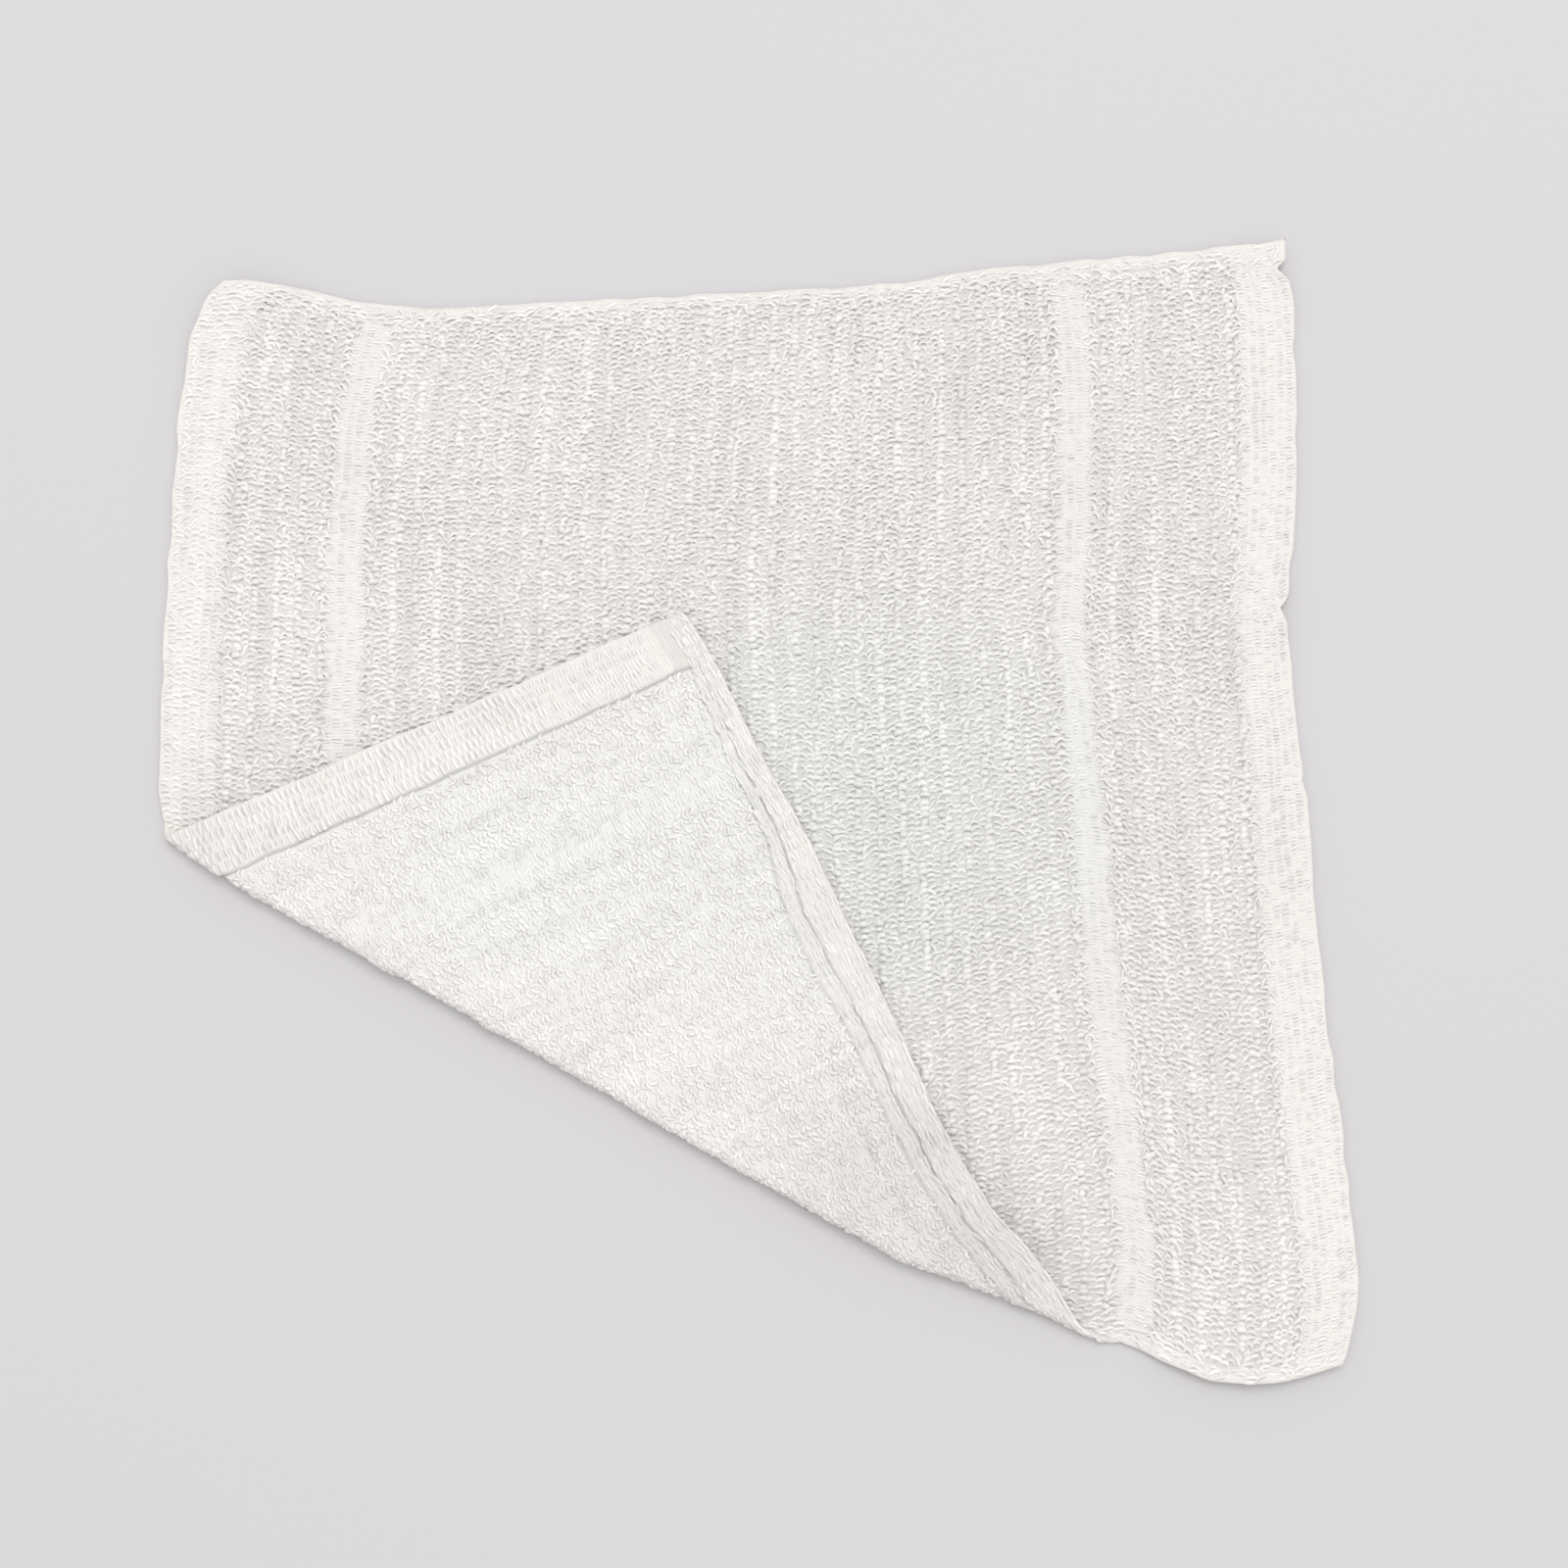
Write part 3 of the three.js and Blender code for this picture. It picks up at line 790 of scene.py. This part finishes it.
def grow(name, tree, guide, values):
    """A plain mesh object made by a node tree on the guide surface."""
    maker = bpy.data.objects.new(name + "_maker", guide)
    bpy.context.scene.collection.objects.link(maker)
    nodes = maker.modifiers.new("Nodes", "NODES")
    nodes.node_group = tree
    for item in tree.interface.items_tree:
        if item.in_out == "INPUT" and item.name in values:
            nodes[item.identifier] = values[item.name]
    made = maker.evaluated_get(bpy.context.evaluated_depsgraph_get())
    mesh = bpy.data.meshes.new_from_object(made)
    mesh.name = name
    maker.modifiers.remove(nodes)
    bpy.data.objects.remove(maker)
    return placed(name, mesh)


def placed(name, mesh):
    piece = bpy.data.objects.new(name, mesh)
    bpy.context.scene.collection.objects.link(piece)
    return piece


# Finishes.

COLOUR = "NodeSocketColor"

# The look of cotton: its shader's values, the size of its patches and flecks, where they turn dull, and how
# much the tone of a loop changes its brightness.
COTTON_SHADER = {"Roughness": 0.92, "Specular IOR Level": 0.25, "Sheen Weight": 0.15, "Sheen Roughness": 0.5}
PATCH_SIZE = 50.0
FLECK_SIZE = 2.2
FLECK_SHARE = 0.5
DULL_START = 0.35
DULL_SPAN = 0.3
LOOP_TONE = 0.14
LOOP_BASE = 0.93

# The weave: how far its threads sway together, across and down, and the size and strength of its slubs.
SWAY_SIZE = (4.0, 2.0)
SLUB_SIZE = (2.6, 1.3)
SLUB_STRENGTH = 1.8


def object_noise(tree, size, detail):
    """Noise from 0 to 1 on Object coordinates, with spots of the given size."""
    place = new_node(tree, "ShaderNodeTexCoord").outputs["Object"]
    spots = add(tree, "ShaderNodeTexNoise",
                {"Vector": scaled(tree, place, size ** -1.0), "Scale": 1.0, "Detail": detail})
    return Num(tree, spots)


def tone_tree():
    """White cotton, a little darker in soft patches and fine flecks, cool in places, with painted shade and
    painted light in places.
    """
    tree, given, end = new_tree(
        "Cotton tone", "ShaderNodeTree",
        {"Clean": COLOUR, "Dull": COLOUR, "Patch size": FLOAT, "Fleck size": FLOAT, "Fleck share": FLOAT,
         "Cool share": FLOAT},
        {"Color": COLOUR})
    patches = object_noise(tree, given["Patch size"], 2.0)
    flecks = object_noise(tree, given["Fleck size"], 1.0)
    dull = (given["Fleck share"].mixed(patches, flecks) - DULL_START) / DULL_SPAN
    dull.socket.node.use_clamp = True
    colour = new_node(tree, "ShaderNodeMix", data_type="RGBA")
    for socket, value in zip([s for s in colour.inputs if s.enabled], (dull, given["Clean"], given["Dull"])):
        feed(tree, socket, value)
    x, y = first_two(tree, new_node(tree, "ShaderNodeTexCoord").outputs["Object"])

    def off_middle(middle_x, middle_y, half_x, half_y):
        """The square of how far a place is from an oval's middle, as a share of its half size."""
        off_x = (x - middle_x * MM) / (half_x * MM)
        off_y = (y - middle_y * MM) / (half_y * MM)
        return off_x * off_x + off_y * off_y

    # Painted shade from the mesh's shade attribute and from the spots, and painted light where a spot's share
    # is below 0.
    light = attribute(tree, "shade") * -1.0 + 1.0
    for spot_x, spot_y, reach, loss in PAINTED_SHADE_AND_LIGHT_SPOTS:
        light = light - (off_middle(spot_x, spot_y, reach, reach) * -1.0).math("EXPONENT") * loss
    warm = 1.0
    for oval in COOL_OVALS:
        square = off_middle(*oval)
        warm = ((square * square * -1.0).math("EXPONENT") * -1.0 + 1.0) * warm
    red = light * ((warm - 1.0) * given["Cool share"] * RED_LOSS + 1.0)
    shaded = new_node(tree, "ShaderNodeVectorMath", operation="MULTIPLY")
    feed(tree, shaded.inputs[0], [s for s in colour.outputs if s.enabled][0])
    feed(tree, shaded.inputs[1], vector(tree, red, light, light))
    feed(tree, end.inputs[0], shaded.outputs[0])
    return tree


def weave_tree():
    """The height of a plain weave on the flat cloth, from 0 to 1, with uneven threads and slubs in them."""
    tree, given, end = new_tree(
        "Plain weave", "ShaderNodeTree",
        dict.fromkeys(("Across pitch", "Down pitch", "Cord share", "Unevenness", "Slub share"), FLOAT),
        {"Height": FLOAT})
    share_across, share_down = first_two(tree, add(tree, "ShaderNodeUVMap", uv_map="flat"))
    across = share_across * (CLOTH_ACROSS * MM)
    down = share_down * (CLOTH_DOWN * MM)
    ripple = noise(tree, across / (SWAY_SIZE[0] * MM), down / (SWAY_SIZE[1] * MM), 0.0, 2.0)
    sway = ripple * given["Unevenness"]
    over = ((across + sway) / given["Across pitch"] * (2 * math.pi)).math("SINE")
    cord = ((down + sway * 0.6) / given["Down pitch"] * (2 * math.pi)).math("SINE")
    threads = given["Cord share"].mixed(over * cord, cord) * 0.5 + 0.5
    thick = noise(tree, across / (SLUB_SIZE[0] * MM), down / (SLUB_SIZE[1] * MM), 7.0, 1.0)
    slubs = thick * SLUB_STRENGTH + 0.5
    slubs.socket.node.use_clamp = True
    feed(tree, end.inputs[0], given["Slub share"].mixed(threads, slubs))
    return tree


def fuzz_tree():
    """The height of loose fibre ends, as fine noise."""
    tree, given, end = new_tree("Fibre fuzz", "ShaderNodeTree", {"Size": FLOAT}, {"Height": FLOAT})
    feed(tree, end.inputs[0], object_noise(tree, given["Size"], 2.0))
    return tree


TONE = tone_tree()
WEAVE = weave_tree()
FUZZ = fuzz_tree()


def grouped(tree, group, **values):
    """A placed node group, with its values by name."""
    node = new_node(tree, "ShaderNodeGroup", node_tree=group)
    for name, value in values.items():
        feed(tree, node.inputs[name.replace("_", " ")], value)
    return node.outputs[0]


def cotton(name, clean, dull, fuzz_size=0.35, fuzz_depth=0.12, weave=None, weave_depth=0.1, gap_shade=0.8,
           yarns=False, cool=1.0):
    """A cotton finish: tone, fibre fuzz and, on woven places, the weave of its threads with painted shade in
    the gaps between them.
    """
    material = bpy.data.materials.new(name)
    material.use_nodes = True
    tree = material.node_tree
    shader = tree.nodes["Principled BSDF"]
    for socket_name, value in COTTON_SHADER.items():
        shader.inputs[socket_name].default_value = value
    colour = grouped(tree, TONE, Clean=(*clean, 1), Dull=(*dull, 1), Patch_size=PATCH_SIZE * MM,
                     Fleck_size=FLECK_SIZE * MM, Fleck_share=FLECK_SHARE, Cool_share=cool)
    if yarns:
        colour = scaled(tree, colour, attribute(tree, "yarn_tone") * LOOP_TONE + LOOP_BASE)
    if weave:
        threads = Num(tree, grouped(tree, WEAVE, **weave))
        # Painted shade: the colour darkens towards gap_shade where the weave is low, between its threads.
        colour = scaled(tree, colour, threads.math("POWER", 0.5) * (1.0 - gap_shade) + gap_shade)
    feed(tree, shader.inputs["Base Color"], colour)
    height = Num(tree, grouped(tree, FUZZ, Size=fuzz_size * MM)) * (fuzz_depth * MM)
    if weave:
        height = height + threads * (weave_depth * MM)
    bump = add(tree, "ShaderNodeBump", {"Height": height, "Strength": 1.0, "Distance": 1.0})
    feed(tree, shader.inputs["Normal"], bump)
    return material


def yarn(name, clean, dull, cool=1.0):
    """The finish of looped yarn, whose loops differ in tone."""
    return cotton(name, clean, dull, fuzz_size=0.3, fuzz_depth=0.1, yarns=True, cool=cool)


def weave_of(across, down, cord, sway, slubs):
    """The values of a weave: its pitches and sway in millimetres, and its shares of cord and of slubs."""
    return {"Across_pitch": across * MM, "Down_pitch": down * MM, "Cord_share": cord,
            "Unevenness": sway * MM, "Slub_share": slubs}


# Edges and hems are less cool than the pile.
EDGE_COOL = 0.15
TERRY_WEAVE = weave_of(0.8, 0.86, 0.2, 0.3, 0.3)
HEM_WEAVE = weave_of(1.3, 1.0, 0.6, 0.5, 0.5)
BAND_WEAVE = weave_of(1.1, 0.95, 0.65, 0.3, 0.5)
SELVEDGE_WEAVE = weave_of(1.0, 0.9, 0.3, 0.3, 0.5)
# The face's ground is painted darker than the back's: painted shade in the gaps between its loops.
SHADED_GROUND_COTTON = cotton("terry_ground_painted_shade", (0.805, 0.778, 0.76), (0.765, 0.736, 0.716), weave=TERRY_WEAVE)
BACK_COTTON = cotton("back_ground", (0.925, 0.9, 0.88), (0.89, 0.862, 0.838), weave=TERRY_WEAVE)
HEM_COTTON = cotton("hem_weave", (0.928, 0.895, 0.863), (0.898, 0.86, 0.825), gap_shade=0.74,
                    weave=HEM_WEAVE, weave_depth=0.14, cool=EDGE_COOL)
BAND_COTTON = cotton("band_weave", (0.906, 0.878, 0.856), (0.878, 0.846, 0.82), gap_shade=0.7,
                     weave=BAND_WEAVE, weave_depth=0.12)
SELVEDGE_COTTON = cotton("selvedge_weave", (0.94, 0.91, 0.88), (0.905, 0.87, 0.838), gap_shade=0.7,
                         weave=SELVEDGE_WEAVE, weave_depth=0.14, cool=EDGE_COOL)
FINISHES = (SHADED_GROUND_COTTON, HEM_COTTON, BAND_COTTON, SELVEDGE_COTTON, BACK_COTTON)
FACE_YARN = yarn("pile_yarn", (0.932, 0.902, 0.884), (0.91, 0.872, 0.854))
BACK_YARN = yarn("back_pile_yarn", (0.98, 0.938, 0.918), (0.958, 0.91, 0.888))
HEM_YARN = yarn("hem_yarn", (0.932, 0.902, 0.874), (0.908, 0.874, 0.843))
EDGE_YARN = yarn("edge_yarn", (0.972, 0.936, 0.908), (0.948, 0.908, 0.878), cool=EDGE_COOL)


# The pieces.

def make_sheet():
    """The guide surface in the middle of the cloth, and the closed ground sheet around it."""
    across, down = cloth_grid()
    middle = lay(across, down)
    low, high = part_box("washcloth")
    spread = middle[..., :2].reshape(-1, 2)
    centre = (spread.min(axis=0) + spread.max(axis=0)) / 2
    middle[..., :2] += (np.array(low[:2]) + np.array(high[:2])) / 2 / MM - centre
    middle = uneven(middle, across, down)
    out = facing(middle)
    flat = np.stack([across, down], axis=-1).reshape(-1, 2)
    quads = grid_quads(*across.shape)

    guide, _ = mesh_of("cloth_guide", flat, middle.reshape(-1, 3), quads)

    on_edge = np.any((flat < NEAR) | (flat > np.array((CLOTH_ACROSS, CLOTH_DOWN)) - NEAR), axis=1)
    keys, points = [], []
    for side, direction in ((FACE, 1), (BACK, -1)):
        half = half_thickness(across, down, side)
        points.append((middle + direction * half[..., None] * out).reshape(-1, 3))
        keys.append(np.column_stack([flat, np.where(on_edge, 0, direction)]))
    both = np.vstack([quads, quads[:, ::-1] + len(flat)])
    mesh, kept = mesh_of("washcloth_ground", np.vstack(keys), np.vstack(points), both)
    for finish in FINISHES:
        mesh.materials.append(finish)
    uv = np.empty(len(mesh.loops) * 2, np.float32)
    mesh.uv_layers["flat"].data.foreach_get("uv", uv)
    first = np.array([polygon.loop_start for polygon in mesh.polygons])
    opposite = np.array([polygon.loop_start + polygon.loop_total // 2 for polygon in mesh.polygons])
    spot = (uv.reshape(-1, 2)[first] + uv.reshape(-1, 2)[opposite]) / 2 * (CLOTH_ACROSS, CLOTH_DOWN)
    side = np.arange(len(spot)) // (len(spot) // 2)
    hem, band, selvedge = (zone > 0.5 for zone in zones(spot[:, 0], spot[:, 1], side))
    chosen = [FINISHES.index(finish) for finish in (HEM_COTTON, SELVEDGE_COTTON, BACK_COTTON, BAND_COTTON)]
    index = np.select([hem, selvedge, side == BACK, band], chosen, FINISHES.index(SHADED_GROUND_COTTON))
    mesh.polygons.foreach_set("material_index", index.astype(np.int32))
    # The back's painted shade along its grooves, and its greyer doubled corner, go to the mesh as its shade
    # attribute.
    shade = np.concatenate([np.zeros(len(flat)), grooves(across, down)[1].ravel()])
    mesh.attributes.new("shade", "FLOAT", "POINT").data.foreach_set("value", shade[kept].astype(np.float32))
    mesh.update()
    return guide, placed("washcloth_ground", mesh)


# Fields of yarn on the flat cloth: where each starts and ends across it, and its number of ribs.
BAND_EDGES = [centre + edge for centre in BAND_CENTRES for edge in (-BAND_WIDTH / 2, BAND_WIDTH / 2)]
LEFT = (HEM_WIDTH - 0.6, BAND_EDGES[0], 14)
MIDDLE = (BAND_EDGES[1], BAND_EDGES[2], 93)
RIGHT = (BAND_EDGES[3], CLOTH_ACROSS - HEM_WIDTH + 0.6, 21)
LEFT_BAND = (BAND_EDGES[0] + 0.2, BAND_EDGES[1] - 0.2, 4)
RIGHT_BAND = (BAND_EDGES[2] + 0.2, BAND_EDGES[3] - 0.2, 4)
LEFT_HEM = (0.9, HEM_WIDTH - 0.6, 6)
RIGHT_HEM = (CLOTH_ACROSS - HEM_WIDTH + 0.8, CLOTH_ACROSS - 0.9, 6)
BACK_LEFT = (HEM_WIDTH + 1.2, BAND_EDGES[0], 13)
BACK_BAND = (BAND_EDGES[0], BAND_EDGES[1], 5)
BACK_MIDDLE = (BAND_EDGES[1], BAND_EDGES[2], 96)
WHOLE = (1.0, CLOTH_ACROSS - 1.0, 112)
BACK_HEM = (0.9, HEM_WIDTH - 0.4, 5)
BACK_SELVEDGE = (1.0, CLOTH_ACROSS - 1.0, 100)
UNDER = (HEM_WIDTH + 1.4, CLOTH_ACROSS - HEM_WIDTH - 1.4, 56)

# Where the yarn starts and ends down the cloth, and past the fold line.
TOP = SELVEDGE_WIDTHS[FACE] + 0.8
BOTTOM = CLOTH_DOWN - TOP
TOP_SELVEDGE = (1.2, TOP + 1.5)
BOTTOM_SELVEDGE = (BOTTOM - 1.5, CLOTH_DOWN - 1.2)
FLAP = (150, CLOTH_DOWN - SELVEDGE_WIDTHS[BACK] - 1.2)
FLAP_HEM_CORDS = (150, 262)
FLAP_HEM_THREADS = (262, 295)
FLAP_SELVEDGE_OUT = (CLOTH_DOWN - SELVEDGE_GROOVES[0][0] + 0.3, CLOTH_DOWN - 0.6)
FLAP_SELVEDGE_IN = (CLOTH_DOWN - SELVEDGE_GROOVES[1][0] + 0.4, CLOTH_DOWN - SELVEDGE_GROOVES[0][0] - 0.4)
UNDERSIDE = (12, 303)
FAR_AWAY = 400
ON_BASE = (-FAR_AWAY, -ROLL_HALF - 0.5)
OVER_FOLD = (-ROLL_HALF - 5, FAR_AWAY)
UNDER_BASE = (-FAR_AWAY, -ROLL_HALF - 4)

# Stray loops along the borders between fields.
BORDERS = (HEM_WIDTH - 0.4, *BAND_EDGES, CLOTH_ACROSS - HEM_WIDTH + 0.4)
STRAY_HALF = 1.4

# The side of the guide surface that loops stand on, and the step between the seeds of two pieces.
ABOVE, BELOW = 1.0, -1.0
SEED_STEP = 100.0


def loop_form(side, reach, radius, height, bow, stray, tilt, swell, fullness=0.3, pairing=0.0):
    """The inputs that shape loops, with a radius and a height for fat ribs, thin ribs and the loops' ends."""
    form = {"Side": side, "Reach": reach, "Bow": bow, "Stray": stray, "Tilt": tilt, "Swell": swell,
            "Fullness": fullness, "Pairing": pairing}
    for part, part_radius, part_height in zip(("Fat", "Thin", "End"), radius, height):
        form[part + " radius"] = part_radius
        form[part + " height"] = part_height
    return form


FACE_LOOPS = loop_form(ABOVE, 1.3, (1.02, 0.58, 0.46), (0.38, 0.6, 0.3),
                       bow=0.8, stray=0.8, tilt=0.7, swell=0.3, fullness=0.35)
HEM_LOOPS = loop_form(ABOVE, 1.2, (0.7, 0.66, 0.5), (0.62, 0.6, 0.5), bow=0.7, stray=0.5, tilt=0.5, swell=0.3)
SELVEDGE_LOOPS = loop_form(ABOVE, 1.2, (0.66, 0.6, 0.5), (0.6, 0.55, 0.4),
                           bow=0.5, stray=1.2, tilt=0.7, swell=0.3)
STRAY_LOOPS = loop_form(ABOVE, 0.95, (0.6, 0.58, 0.42), (0.85, 0.8, 0.5),
                        bow=1.2, stray=0.55, tilt=0.5, swell=0.4)
FLAP_LOOPS = loop_form(BELOW, 1.15, (0.58, 0.54, 0.44), (0.38, 0.34, 0.22),
                       bow=0.8, stray=0.9, tilt=1.0, swell=0.2, pairing=0.2)
FLAP_BAND_LOOPS = loop_form(BELOW, 1.15, (0.5, 0.48, 0.44), (0.42, 0.4, 0.32),
                            bow=0.4, stray=0.5, tilt=0.5, swell=0.2, pairing=0.2)
UNDER_LOOPS = loop_form(BELOW, 1.1, (0.62, 0.6, 0.4), (0.46, 0.44, 0.36),
                        bow=0.9, stray=0.6, tilt=0.5, swell=0.1, pairing=0.4)
CORDS = loop_form(BELOW, 1.05, (0.74, 0.72, 0.58), (0.74, 0.72, 0.7),
                  bow=0.1, stray=0.2, tilt=0.12, swell=0.2)
SELVEDGE_CORDS = loop_form(BELOW, 1.1, (0.5, 0.46, 0.36), (0.7, 0.68, 0.55),
                           bow=0.2, stray=0.6, tilt=0.2, swell=0.2)
THREAD = {"reach": 1.12, "radius": (0.52, 0.5, 0.36), "bow": 0.2, "stray": 0.4, "tilt": 0.3, "swell": 0.15}
FINE_THREADS = loop_form(ABOVE, height=(0.34, 0.32, 0.24), **THREAD)
HEM_THREADS = loop_form(ABOVE, height=(0.56, 0.54, 0.46), **THREAD)
BACK_HEM_THREADS = loop_form(BELOW, height=(0.68, 0.66, 0.58), **THREAD)

# The inputs that aren't lengths.
PLAIN_INPUTS = ("Ribs", "Side", "Rows", "Steps", "Seed", "Drift seed", "Material", "Reach", "Tilt",
                "Fullness", "Taper")

guide, ground = make_sheet()
rows_of_loops = pile_tree()
pieces = []


def pile(name, field, rows, pitch, past, loops, finish, steps=4):
    """The yarn of one field, between two places down the cloth."""
    start, end, ribs = field
    values = {"Field start": start, "Field end": end, "Ribs": ribs, "First row": rows[0] + pitch / 2,
              "Row pitch": pitch, "Rows": round((rows[1] - rows[0]) / pitch), "Steps": steps,
              "From past": past[0], "To past": past[1], "Seed": SEED_STEP * (len(pieces) + 1),
              "Drift seed": loops["Side"], "Taper": float(loops["Side"] == BELOW), "Material": finish,
              **loops}
    inputs = {key: value if key in PLAIN_INPUTS else value * MM for key, value in values.items()}
    pieces.append(grow(name, rows_of_loops, guide, inputs))


def make_face():
    """The side of the cloth that lies up, from the top down to the fold."""
    whole = (TOP, BOTTOM)
    third = ROW_PITCH * round((BOTTOM - TOP) / ROW_PITCH / 3)
    thirds = (TOP, TOP + third, TOP + 2 * third, BOTTOM)
    pile("pile_left", LEFT, whole, ROW_PITCH, ON_BASE, FACE_LOOPS, FACE_YARN, steps=3)
    for name, rows in zip(("top", "centre", "low"), zip(thirds, thirds[1:])):
        pile("pile_middle_" + name, MIDDLE, rows, ROW_PITCH, ON_BASE, FACE_LOOPS, FACE_YARN, steps=3)
    pile("pile_right", RIGHT, whole, ROW_PITCH, ON_BASE, FACE_LOOPS, FACE_YARN, steps=3)
    pile("band_left", LEFT_BAND, whole, FINE_ROW_PITCH, ON_BASE, FINE_THREADS, HEM_YARN)
    pile("band_right", RIGHT_BAND, whole, FINE_ROW_PITCH, ON_BASE, FINE_THREADS, HEM_YARN)
    pile("hem_left", LEFT_HEM, whole, ROW_PITCH, ON_BASE, HEM_LOOPS, EDGE_YARN)
    pile("hem_right", RIGHT_HEM, whole, FINE_ROW_PITCH, ON_BASE, HEM_THREADS, HEM_YARN)
    pile("selvedge_top", WHOLE, TOP_SELVEDGE, ROW_PITCH, ON_BASE, SELVEDGE_LOOPS, EDGE_YARN)
    pile("selvedge_bottom", WHOLE, BOTTOM_SELVEDGE, ROW_PITCH, ON_BASE, SELVEDGE_LOOPS, EDGE_YARN)
    for number, border in enumerate(BORDERS):
        pile("stray_loops_%d" % number, (border - STRAY_HALF, border + STRAY_HALF, 1), whole, STRAY_PITCH,
             ON_BASE, STRAY_LOOPS, FACE_YARN, steps=6)


def make_back():
    """The side that the folded corner shows, and the underside."""
    fields = (
        ("flap_left", BACK_LEFT, FLAP, FLAP_ROW_PITCH, FLAP_LOOPS, BACK_YARN),
        ("flap_middle", BACK_MIDDLE, FLAP, FLAP_ROW_PITCH, FLAP_LOOPS, BACK_YARN),
        ("flap_band", BACK_BAND, FLAP, FINE_ROW_PITCH, FLAP_BAND_LOOPS, BACK_YARN),
        ("flap_hem_cords", BACK_HEM, FLAP_HEM_CORDS, CORD_PITCH, CORDS, EDGE_YARN),
        ("flap_hem_threads", BACK_HEM, FLAP_HEM_THREADS, FINE_ROW_PITCH, BACK_HEM_THREADS, EDGE_YARN),
        ("flap_selvedge_out", BACK_SELVEDGE, FLAP_SELVEDGE_OUT, SELVEDGE_PITCH, SELVEDGE_CORDS, EDGE_YARN),
        ("flap_selvedge_in", BACK_SELVEDGE, FLAP_SELVEDGE_IN, SELVEDGE_PITCH, SELVEDGE_CORDS, HEM_YARN),
    )
    for name, field, rows, pitch, loops, finish in fields:
        pile(name, field, rows, pitch, OVER_FOLD, loops, finish)
    pile("underside_pile", UNDER, UNDERSIDE, UNDER_ROW_PITCH, UNDER_BASE, UNDER_LOOPS, FACE_YARN, steps=2)


make_face()
make_back()

for piece in [ground, *pieces]:
    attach(piece, "root")
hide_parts("washcloth")


# Floor, light and camera.

def make_stage():
    """A plain pale floor, a white dome, one soft light from above and the camera."""
    mesh = bpy.data.meshes.new("floor")
    signs = ((-1, -1), (1, -1), (1, 1), (-1, 1))
    corners = [(x * FLOOR_HALF, y * FLOOR_HALF, FLOOR_HEIGHT) for x, y in signs]
    mesh.from_pydata(corners, [], [(0, 1, 2, 3)])
    floor = placed("floor", mesh)
    paper = bpy.data.materials.new("floor_paper")
    paper.use_nodes = True
    shader = paper.node_tree.nodes["Principled BSDF"]
    shader.inputs["Base Color"].default_value = FLOOR_COLOUR
    shader.inputs["Roughness"].default_value = 0.95
    shader.inputs["Specular IOR Level"].default_value = 0.0
    mesh.materials.append(paper)

    world = bpy.data.worlds.new("studio")
    world.use_nodes = True
    dome = world.node_tree.nodes["Background"]
    dome.inputs["Color"].default_value = (1, 1, 1, 1)
    dome.inputs["Strength"].default_value = DOME_STRENGTH
    bpy.context.scene.world = world

    lamp = bpy.data.lights.new("key", "AREA")
    lamp.energy = KEY_POWER
    lamp.size = KEY_SIZE
    key = bpy.data.objects.new("key", lamp)
    key.location = KEY_PLACE
    key.rotation_euler = (-Vector(key.location)).to_track_quat("-Z", "Y").to_euler()
    bpy.context.scene.collection.objects.link(key)

    lens = bpy.data.cameras.new("camera")
    lens.lens = LENS
    lens.sensor_width = SENSOR
    camera = bpy.data.objects.new("camera", lens)
    tilt = math.radians(CAMERA_ELEVATION)
    back = Vector((0, -math.cos(tilt), math.sin(tilt)))
    camera.location = (Vector(CAMERA_TARGET) + back * CAMERA_DISTANCE) * MM
    camera.rotation_euler = (-back).to_track_quat("-Z", "Y").to_euler()
    bpy.context.scene.collection.objects.link(camera)
    bpy.context.scene.camera = camera
    bpy.context.scene.view_settings.view_transform = "Standard"


make_stage()
